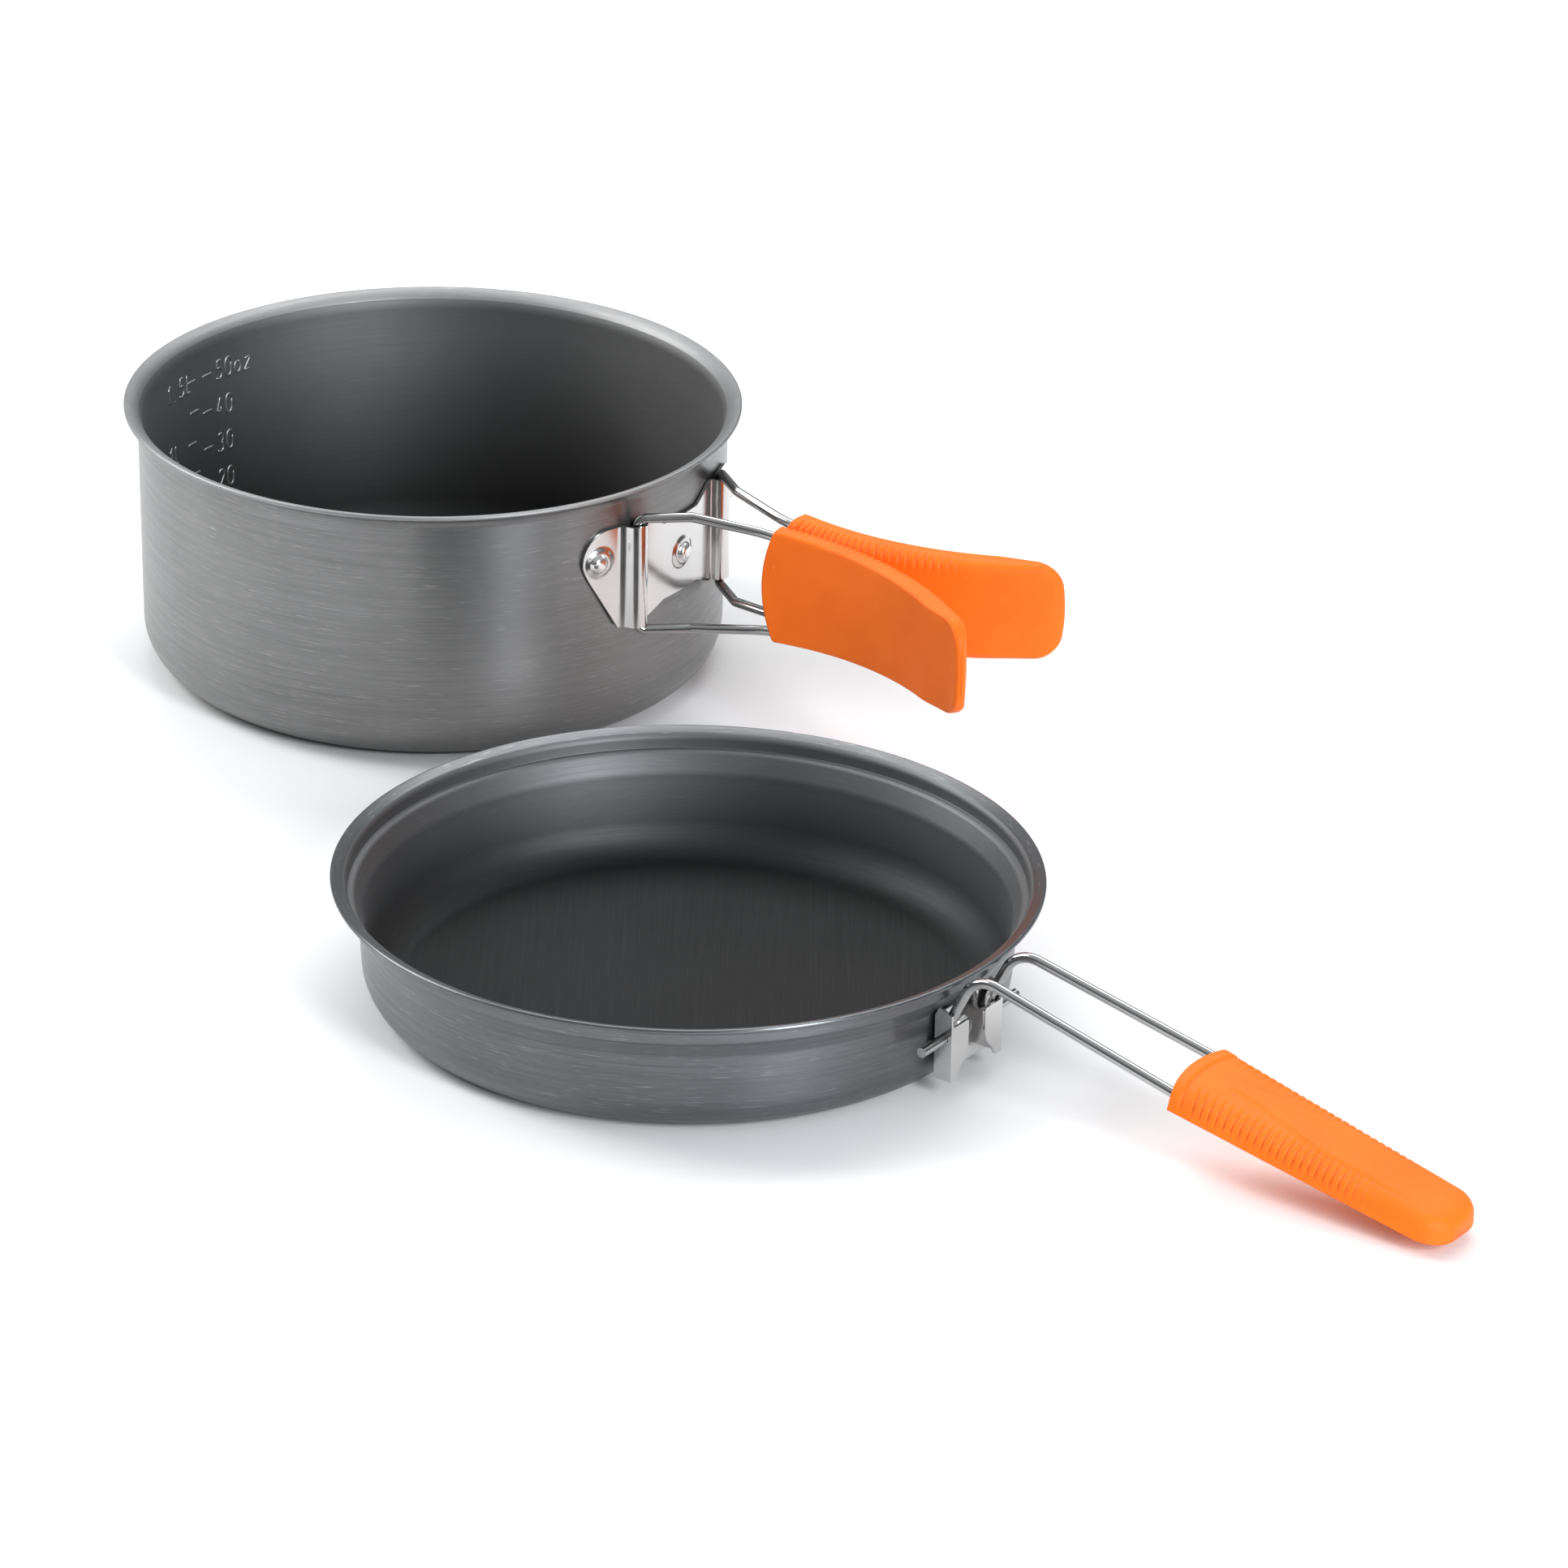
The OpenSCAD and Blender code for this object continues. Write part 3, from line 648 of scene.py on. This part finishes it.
def bracket_plan():
    """Half of the sheet's middle line seen from above: (out from the hinge line, along the wall)."""
    out = PLATE_R - HINGE_R
    roll = TUBE_R - PLATE / 2
    middle = -radians(HINGE_AZ) * HINGE_R
    edge = radians(RIVET_SIDE_AZ - HINGE_AZ) * HINGE_R + 5 * MM
    points = [Vector(p) for p in (
        (out, middle), (out, -roll), (roll, -roll), (roll, roll), (out, roll + 1.8 * MM), (out, edge))]
    radii = [0, 0.9 * MM, roll - 0.01 * MM, roll - 0.01 * MM, 3.5 * MM, 0]
    path = [points[0]]
    for i in range(1, 5):
        path += corner(points[i - 1], points[i], points[i + 1], radii[i], 0, 9)
    path.append(points[-1])
    fine = []
    for a, b in zip(path, path[1:]):
        count = max(1, int((b - a).length / (0.45 * MM)))
        fine += [a.lerp(b, i / count) for i in range(count)]
    # Columns close up towards the round outer edge
    fine = [p for p in fine if p.y < edge - 2 * MM]
    fine += [Vector((out, edge - 2 * MM * (1 - sin(pi / 2 * i / 8)))) for i in range(9)]
    return fine


def bracket_heights(y):
    """Lowest and highest point of the sheet at a distance y along the wall from the hinge line."""
    middle = -radians(HINGE_AZ) * HINGE_R
    low, high = TUBE_LOW + 0.1 * MM, TUBE_TOP - 0.1 * MM
    from_middle = y - middle
    if y < -TUBE_R:
        slant = ramp(9 * MM, 17.6 * MM, from_middle)
        return low + 3.7 * MM * (1 - slant), high - 4.3 * MM * (1 - slant)
    if y < TUBE_R + 1.5 * MM:
        return low, high
    x = y - radians(RIVET_SIDE_AZ - HINGE_AZ) * HINGE_R
    edge, shoulder, foot, knee = 5 * MM, 9.4 * MM, -7.8 * MM, 58.5 * MM
    top = high
    if x > edge - shoulder:
        top = high - shoulder + sqrt(max(0, shoulder ** 2 - (x - edge + shoulder) ** 2))
    bottom = low
    if x > foot:
        bottom = low + (knee - low) * (x - foot) / (edge - foot)
    round_r = 3 * MM
    if x > edge - round_r:
        bottom += round_r * (1 - sqrt(max(0, 1 - ((x - edge + round_r) / round_r) ** 2))) * 0.6
    return min(bottom, top - 0.4 * MM), top


def boss(y_mid, z):
    """Height of the raised ring round each rivet; y_mid is the distance from the bracket's middle."""
    side_y = radians(RIVET_SIDE_AZ) * PLATE_R
    lift = 0.0
    for ry, rz, size in ((0, RIVET_MID_Z, 1.1), (side_y, RIVET_SIDE_Z, 1.0)):
        d = sqrt((y_mid - ry) ** 2 + (z - rz) ** 2)
        lift = max(lift, 0.75 * MM * (1 - smooth(3.1 * MM, 5.3 * MM * size, d)))
    return lift


def make_bracket():
    half = bracket_plan()
    rows = 72
    columns = [(p, -1) for p in half[:0:-1]] + [(p, 1) for p in half]
    verts = []
    n = len(columns)
    for layer in (1, -1):
        for i, (p, side) in enumerate(columns):
            before, after = half[max(0, half.index(p) - 1)], half[min(len(half) - 1, half.index(p) + 1)]
            along = (after - before).normalized()
            normal = Vector((along.y, -along.x))
            low, high = bracket_heights(p.y)
            for j in range(rows + 1):
                z = low + (high - low) * j / rows
                on_plate = smooth(0.5 * MM, 0.0, abs(p.x - (PLATE_R - HINGE_R)))
                lift = boss(p.y + radians(HINGE_AZ) * HINGE_R, z) * on_plate
                q = p + normal * (layer * PLATE / 2 * 0.96) + Vector((lift, 0))
                az = side * (HINGE_AZ + degrees(q.y / HINGE_R))
                verts.append(at_bracket() @ polar(HINGE_R + q.x, az, z))
    count = n * (rows + 1)
    faces = []
    for i in range(n - 1):
        for j in range(rows):
            a, b = i * (rows + 1) + j, (i + 1) * (rows + 1) + j
            faces.append((a, b, b + 1, a + 1))
            faces.append((count + a, count + a + 1, count + b + 1, count + b))
        for j, flip in ((0, False), (rows, True)):
            a, b = i * (rows + 1) + j, (i + 1) * (rows + 1) + j
            quad = (a, count + a, count + b, b)
            faces.append(quad[::-1] if flip else quad)
    for i, flip in ((0, False), (n - 1, True)):
        for j in range(rows):
            a = i * (rows + 1) + j
            quad = (a, a + 1, count + a + 1, count + a)
            faces.append(quad[::-1] if flip else quad)
    obj = make_object("pot_bracket_sheet", verts, faces, [STEEL_PLATE])
    soften(obj, 0.16 * MM, 2)
    return put(obj, "pot", "stainless_plate", "pot_bracket")


def soften(obj, width, segments, angle=40):
    bevel = obj.modifiers.new("edges", "BEVEL")
    bevel.width = width
    bevel.segments = segments
    bevel.limit_method = "ANGLE"
    bevel.angle_limit = radians(angle)
    bevel.harden_normals = True


def rivet_outline(head_r, inner_depth):
    """Formed head with a low flange, shank, and flat head inside the wall; (radius, out) from the seat."""
    top = [(0, 1.75), (1.0, 1.71), (1.8, 1.52), (2.4, 1.15), (2.7, 0.7), (2.78, 0.4), (3.0, 0.3),
           (3.05, 0.12), (3.05, 0.0), (1.55, -0.02)]
    k = head_r / (3 * MM)
    out = [Vector((r * k, h)) * MM for r, h in top]
    inside = [(1.55, 0.1), (3.3, 0.1), (3.5, -0.1), (3.45, -0.45), (3.0, -0.72), (1.8, -0.85), (0, -0.88)]
    out += [Vector((r * MM * k, h * MM - inner_depth)) for r, h in inside]
    return out


def make_rivet(name, place, az, z, seat_r, inner_r, head_r, body, node):
    seat = Matrix.Rotation(radians(az), 4, "Z") @ Matrix.Translation((seat_r, 0, z))
    out_turn = seat @ Matrix.Rotation(pi / 2, 4, "Y")
    outline = rivet_outline(head_r, seat_r - inner_r)
    obj = lathe(name, outline, 48, place @ out_turn, [RIVET], closed=False)
    return put(obj, body, "rivet_aluminium", node)


def make_pot_rivets():
    seat = PLATE_R + PLATE / 2 + 0.7 * MM
    for name, az, z in (("left", -RIVET_SIDE_AZ, RIVET_SIDE_Z), ("centre", 0, RIVET_MID_Z),
                        ("right", RIVET_SIDE_AZ, RIVET_SIDE_Z)):
        make_rivet("rivet_" + name, at_bracket(), az, z, seat, inner_wall_r(z), RIVET_HEAD_R, "pot",
                   "pot_rivet_" + name)


# ---- the pot's handles ----

def handle_place(side):
    """From the folded handle on the +Y side of the bracket to its place, turned out."""
    hinge = polar(HINGE_R, HINGE_AZ)
    opening = Matrix.Rotation(radians(-HANDLE_OPEN), 4, "Z")
    turn = Matrix.Translation(hinge) @ opening @ Matrix.Translation(-hinge)
    mirror = Matrix.Scale(-1, 4, (0, 1, 0)) if side < 0 else Matrix.Identity(4)
    return at_bracket() @ mirror @ turn


def pot_wire_corners():
    half = TUBE_LEN / 2 + WIRE_R + 0.2 * MM
    kink, loop_end = 9.8, GRIP_TO - 8

    def half_at(past):
        return half - (half - 7.6 * MM) * (past - kink) / (loop_end - kink)

    def run(r, past, h):
        return polar(r, HINGE_AZ + past, TUBE_MID_Z + h)

    lower = [(run(HINGE_R, 0, -half), 2.6 * MM), (run(HINGE_R + 2.5 * MM, kink, -half), 4 * MM)]
    lower += [(run(GRIP_R + 0.4 * MM, a, -half_at(a)), 30 * MM) for a in (GRIP_FROM - 0.5, 40, 56)]
    lower += [(run(GRIP_R, loop_end, -half_at(loop_end)), 4.5 * MM)]
    upper = [(Vector((p.x, p.y, 2 * TUBE_MID_Z - p.z)), r) for p, r in reversed(lower)]
    return lower + upper


def make_pot_wire(side, name, body):
    corners = pot_wire_corners()
    path = bent_path([p for p, _ in corners], [r for _, r in corners], True, 14)
    place = handle_place(side)
    obj = sweep(name, [place @ p for p in path], WIRE_DRAWN_R, 24, True, STEEL_WIRE)
    return put(obj, body, "stainless_wire", body + "_wire")


def grip_section(half_t, half_h, r_out, r_in):
    """Closed outline in (out, up): rounder on the convex, outer side than on the inner side."""
    r_out = min(r_out, half_t * 0.95, half_h * 0.95)
    r_in = min(r_in, half_t * 0.9, half_h * 0.9)
    a = corner(Vector((-half_t, -half_h)), Vector((half_t, -half_h)), Vector((half_t, half_h)), r_out, 0, 12)
    b = corner(Vector((half_t, -half_h)), Vector((half_t, half_h)), Vector((-half_t, half_h)), r_out, 0, 12)
    c = corner(Vector((half_t, half_h)), Vector((-half_t, half_h)), Vector((-half_t, -half_h)), r_in, 0, 8)
    d = corner(Vector((-half_t, half_h)), Vector((-half_t, -half_h)), Vector((half_t, -half_h)), r_in, 0, 8)
    out = []
    for start, nxt, count in ((a, b, 12), (b, c, 3), (c, d, 12), (d, a, 3)):
        out += start
        out += [start[-1].lerp(nxt[0], i / count) for i in range(1, count)]
    return out


def quarter(left, length, depth):
    """How far a rounded end has drawn in, at a distance left from its tip."""
    if left >= length:
        return 0.0
    return depth * (1 - sqrt(max(0, 1 - (1 - left / length) ** 2)))


def grip_stations(length, tip_r):
    """Distances along a grip: even steps, then closer and closer ones round the tip."""
    step = 0.28 * MM
    even = [i * step for i in range(int((length - tip_r) / step))]
    return even + [length - tip_r * (1 - sin(pi / 2 * i / 22)) for i in range(23)]


def rib_groove(phase):
    """Depth, 0 to 1, of the groove in the middle of each rib's pitch."""
    return exp(-(((phase % 1) - 0.5) / 0.17) ** 2)


def make_pot_grip(side, name, body):
    """Curved sleeve: bulging at the hinge end, ribbed along its convex edges and thin at the tip."""
    length = radians(GRIP_TO - GRIP_FROM) * GRIP_R
    ribs, rib_share = 27, 0.74
    pitch = length * rib_share / ribs
    bulge, tip_bow, tip_r, start_r = 4 * MM, 2 * MM, 7 * MM, 0.8 * MM
    place = handle_place(side)
    rings = []
    for s in grip_stations(length, tip_r):
        share, left = s / length, length - s
        start_cut = quarter(s, start_r, start_r)
        full_h = (GRIP_H_START + (GRIP_H_END - GRIP_H_START) * share) / 2
        half_h = full_h - quarter(left, tip_r, tip_r) - start_cut
        middle_z = GRIP_MID_START + (GRIP_MID_END - GRIP_MID_START) * share
        # The tip thins from its concave side over a long curve, and from its convex side over a short one
        thin_in = 3.4 * MM * (1 - smooth(0, 20 * MM, left)) + quarter(left, 1.6 * MM, 1.2 * MM)
        thin_out = quarter(left, 5 * MM, 2.4 * MM)
        half_t = (GRIP_T - thin_in - thin_out) / 2 - start_cut
        middle_r = GRIP_R + (thin_in - thin_out) / 2
        section = grip_section(half_t, half_h, 3.4 * MM, 1.1 * MM)
        phase = s / pitch
        groove = rib_groove(phase)
        fade = smooth(0.3, 1.2, phase) * (1 - smooth(ribs - 8, ribs, phase))
        ring = []
        for k, p in enumerate(section):
            q0, q1 = section[k - 1], section[(k + 1) % len(section)]
            along = (q1 - q0).normalized()
            normal = Vector((along.y, -along.x))
            near_edge = smooth(half_h - (5.6 - 2 * share) * MM, half_h - 2 * MM, abs(p.y))
            on_convex = smooth(-0.6 * MM, 1.4 * MM, p.x)
            q = p - normal * (0.6 * MM * groove * fade * near_edge * on_convex)
            height = p.y / full_h
            start_bow = bulge * height ** 2 * (1 - smooth(0, 0.35, share))
            end_bow = tip_bow * height ** 2 * smooth(0.6, 1, share)
            az = HINGE_AZ + GRIP_FROM + degrees((s + start_bow - end_bow) / GRIP_R)
            ring.append(place @ polar(middle_r + q.x, az, middle_z + q.y))
        rings.append(ring if side > 0 else ring[::-1])
    obj = loft(name, rings, [ORANGE])
    return put(obj, body, "orange_silicone", body + "_grip")


# ---- the pan's handle and bracket ----

def at_pan_handle():
    middle = Matrix.Translation((PAN_CENTRE.x, PAN_CENTRE.y, 0))
    return middle @ Matrix.Rotation(radians(PAN_HANDLE_AZ), 4, "Z")


def along_handle(s, y=0.0):
    return Vector((SHOULDER[0] + s * cos(radians(SLOPE)), y, SHOULDER[1] - s * sin(radians(SLOPE))))


def make_pan_wire():
    near = [
        (Vector((PIN_R, PIN_END, PIN_Z)), 0),
        (Vector((PIN_R, LEG_Y, PIN_Z)), 2 * MM),
        (Vector((PIN_R, LEG_Y + 0.1 * MM, LEG_BEND_Z)), 4 * MM),
        (along_handle(0, LEG_Y + 0.6 * MM), 9 * MM),
        (along_handle(HANDLE_LEN - PAN_GRIP_LEN, GRIP_WIRE_Y) + WIRE_SINK, 60 * MM),
        (along_handle(HANDLE_LEN - 6 * MM, 7 * MM) + WIRE_SINK, 5 * MM),
    ]
    corners = near + [(Vector((p.x, -p.y, p.z)), r) for p, r in reversed(near)]
    path = bent_path([p for p, _ in corners], [r for _, r in corners], False, 16)
    place = at_pan_handle()
    obj = sweep("pan_wire", [place @ p for p in path], WIRE_DRAWN_R, 24, False, STEEL_WIRE)
    sharp_edges(obj)
    return put(obj, "pan_handle", "stainless_wire", "pan_handle_wire")


def pan_grip_section(half_w, half_t, tongue_w, tongue_h):
    """Upper side from the near edge to the far edge, then back below; (across, up)."""
    lip, lip_h, top_r = 0.5 * MM, 1.0 * MM, 4.6 * MM
    top_r = min(top_r, half_w * 0.8, half_t * 1.25)
    w = half_w - lip
    right = [Vector((half_w - 0.25 * MM, -half_t)), Vector((half_w, -half_t + 0.25 * MM)),
             Vector((half_w, -half_t + lip_h - 0.25 * MM)), Vector((half_w - 0.2 * MM, -half_t + lip_h)),
             Vector((w + 0.1 * MM, -half_t + lip_h + 0.05 * MM)), Vector((w, -half_t + lip_h + 0.2 * MM))]
    shoulder = corner(Vector((w, -half_t)), Vector((w - 0.7 * MM, half_t)), Vector((0, half_t)), top_r, 0, 14)
    right += shoulder
    inner = shoulder[-1].x
    count = 26
    top = []
    for i in range(1, count):
        x = inner * (1 - 2 * i / count)
        crown = 0.35 * MM * (1 - (x / inner) ** 2)
        tongue = tongue_h * (1 - smooth(tongue_w - 0.9 * MM, tongue_w + 0.9 * MM, abs(x)))
        top.append(Vector((x, half_t - 0.9 * MM + crown + tongue)))
    lowered = []
    for p in right:
        drop = 0.9 * MM * smooth(-half_t + lip_h, half_t, p.y)
        lowered.append(Vector((p.x, p.y - drop)))
    left = [Vector((-p.x, p.y)) for p in reversed(lowered)]
    bottom = [Vector((-half_w + 0.25 * MM + (2 * half_w - 0.5 * MM) * i / 10, -half_t)) for i in range(1, 10)]
    return lowered + top + left + bottom


def make_pan_grip():
    length = PAN_GRIP_LEN
    pitch, ribs = 2.4 * MM, 27
    bulge, tip_r = 2.9 * MM, 8.4 * MM
    collar = 3.4 * MM
    place = at_pan_handle()
    start = along_handle(HANDLE_LEN - length)
    slope = Matrix.Translation(start) @ Matrix.Rotation(radians(SLOPE), 4, "Y")
    rings = []
    for s in grip_stations(length, tip_r):
        share = s / length
        half_w = (PAN_GRIP_W_START + (PAN_GRIP_W_END - PAN_GRIP_W_START) * share) / 2
        left = length - s
        tip_cut = quarter(left, 8 * MM, 3.2 * MM)
        half_t = (PAN_GRIP_T - tip_cut) / 2
        half_w -= quarter(left, tip_r, tip_r)
        tongue_w = 2.6 * MM + 8.5 * MM * smooth(0.04, 0.8, share)
        tongue_h = 0.8 * MM * smooth(0.09, 0.16, share) * (1 - smooth(0.6, 0.98, share))
        section = pan_grip_section(half_w, half_t, tongue_w, tongue_h)
        phase = (s - collar) / pitch
        groove = rib_groove(phase)
        fade = smooth(0.3, 1.0, phase) * (1 - smooth(ribs - 7, ribs, phase))
        after_collar = exp(-((s - collar) / (0.42 * MM)) ** 2)
        on_collar = 1 - smooth(collar - 0.3 * MM, collar, s)
        ring = []
        for k, p in enumerate(section):
            q0, q1 = section[k - 1], section[(k + 1) % len(section)]
            along = (q1 - q0).normalized()
            normal = Vector((along.y, -along.x))
            above = smooth(-half_t + 1.3 * MM, -half_t + 2.0 * MM, p.y)
            on_side = smooth(0.42, 0.82, abs(p.x) / max(half_w, 1e-6)) * above
            depth = 0.62 * MM * groove * fade * on_side + 0.4 * MM * after_collar * above
            depth -= 0.22 * MM * on_collar * above
            q = p - normal * depth
            bow = bulge * (1 - (p.x / max(half_w, 1e-6)) ** 2) * (1 - smooth(0, 0.3, share))
            ring.append(place @ slope @ Vector((s - bow, q.x, q.y - tip_cut / 2)))
        rings.append(ring)
    obj = loft("pan_grip", rings, [ORANGE])
    return put(obj, "pan_handle", "orange_silicone", "pan_handle_grip")


def finish_pan_bracket():
    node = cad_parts["pan_bracket"]
    node.data.materials.clear()
    node.data.materials.append(STEEL_PLATE)
    soften(node, 0.2 * MM, 2)


def make_pan_rivet():
    inner = PAN_WALL_R - SHEET - PAN_TAPER * (1 - PAN_RIVET_Z / PAN_STEP_Z) - 0.15 * MM
    make_rivet("rivet_pan", at_pan_handle(), 0, PAN_RIVET_Z, PAN_WALL_R + 0.95 * MM, inner, 3.7 * MM, "pan",
               "pan_rivet")


# ---- stage: floor, lights and camera ----

def make_floor():
    size = 30
    verts = [(-size, -size, 0), (size, -size, 0), (size, size, 0), (-size, size, 0)]
    floor = make_object("floor", [Vector(v) - Vector((0, 0, 0.0001)) for v in verts], [(0, 1, 2, 3)],
                        [floor_material()])
    floor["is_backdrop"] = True


def area_light(name, position, target, size, power, colour=(1, 1, 1)):
    data = bpy.data.lights.new(name, "AREA")
    data.shape = "RECTANGLE"
    data.size, data.size_y = size
    data.energy = power
    data.color = colour
    obj = bpy.data.objects.new(name, data)
    obj.location = position
    obj.rotation_mode = "QUATERNION"
    obj.rotation_quaternion = (Vector(target) - Vector(position)).to_track_quat("-Z", "Y")
    bpy.context.scene.collection.objects.link(obj)


def make_world():
    """Studio surroundings: light overhead and behind, darker low down and on the camera's side."""
    world = bpy.data.worlds.new("studio")
    world.use_nodes = True
    tree = world.node_tree
    background = tree.nodes["Background"]
    coords = tree.nodes.new("ShaderNodeTexCoord")
    split = tree.nodes.new("ShaderNodeSeparateXYZ")
    height = tree.nodes.new("ShaderNodeMapRange")
    depth = tree.nodes.new("ShaderNodeMapRange")
    both = tree.nodes.new("ShaderNodeMath")
    tint = tree.nodes.new("ShaderNodeMix")
    tree.links.new(coords.outputs["Generated"], split.inputs[0])
    tree.links.new(split.outputs["Z"], height.inputs["Value"])
    tree.links.new(split.outputs["Y"], depth.inputs["Value"])
    for node, values in ((height, (0.15, 0.95, 0.12, 1.0)), (depth, (-0.9, 0.9, 0.55, 1.15))):
        for value, socket in zip(values, list(node.inputs)[1:5]):
            socket.default_value = value
    both.operation = "MULTIPLY"
    tree.links.new(height.outputs["Result"], both.inputs[0])
    tree.links.new(depth.outputs["Result"], both.inputs[1])
    tint.data_type = "RGBA"
    tree.links.new(both.outputs[0], tint.inputs["Factor"])
    tint.inputs[6].default_value = (0.0, 0.0, 0.0, 1)
    tint.inputs[7].default_value = (0.94, 0.97, 1.0, 1)
    tree.links.new(tint.outputs[2], background.inputs["Color"])
    background.inputs["Strength"].default_value = 0.95
    bpy.context.scene.world = world


def make_lights():
    middle = (0.1, -0.1, 0.04)
    area_light("key_left", (-1.75, 0.45, 1.45), middle, (1.0, 1.5), 44)
    area_light("top_back", (0.3, 1.1, 1.9), middle, (1.8, 1.0), 24)
    area_light("fill_right", (1.25, -1.9, 0.9), middle, (0.5, 1.2), 50, (0.93, 0.96, 1.0))


def make_camera():
    aim = Vector((0.10814, -0.09562, 0))
    distance, elevation, roll = 2.4023, 24.72, 1.03
    back = Vector((0, -cos(radians(elevation)), sin(radians(elevation))))
    data = bpy.data.cameras.new("camera")
    data.sensor_width = 36
    data.lens = 36 * 10000 / 1932
    data.clip_start, data.clip_end = 0.1, 100
    camera = bpy.data.objects.new("camera", data)
    camera.location = aim + back * distance
    camera.rotation_mode = "QUATERNION"
    camera.rotation_quaternion = (-back).to_track_quat("-Z", "Y") @ Quaternion((0, 0, 1), radians(roll))
    bpy.context.scene.collection.objects.link(camera)
    bpy.context.scene.camera = camera


def write_sizes():
    boxes = {"cad": CAD_BOX, "visual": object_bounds()}
    {name: [list(low), list(high)] for name, (low, high) in boxes.items()}


make_camera()
make_world()
make_lights()
make_floor()
make_pot()
make_marks()
make_bracket()
make_pot_rivets()
for side, body in ((-1, "left_handle"), (1, "right_handle")):
    make_pot_wire(side, body + "_loop", body)
    make_pot_grip(side, body + "_sleeve", body)
make_pan()
finish_pan_bracket()
make_pan_rivet()
make_pan_wire()
make_pan_grip()
bpy.context.scene.view_settings.view_transform = "Standard"
write_sizes()
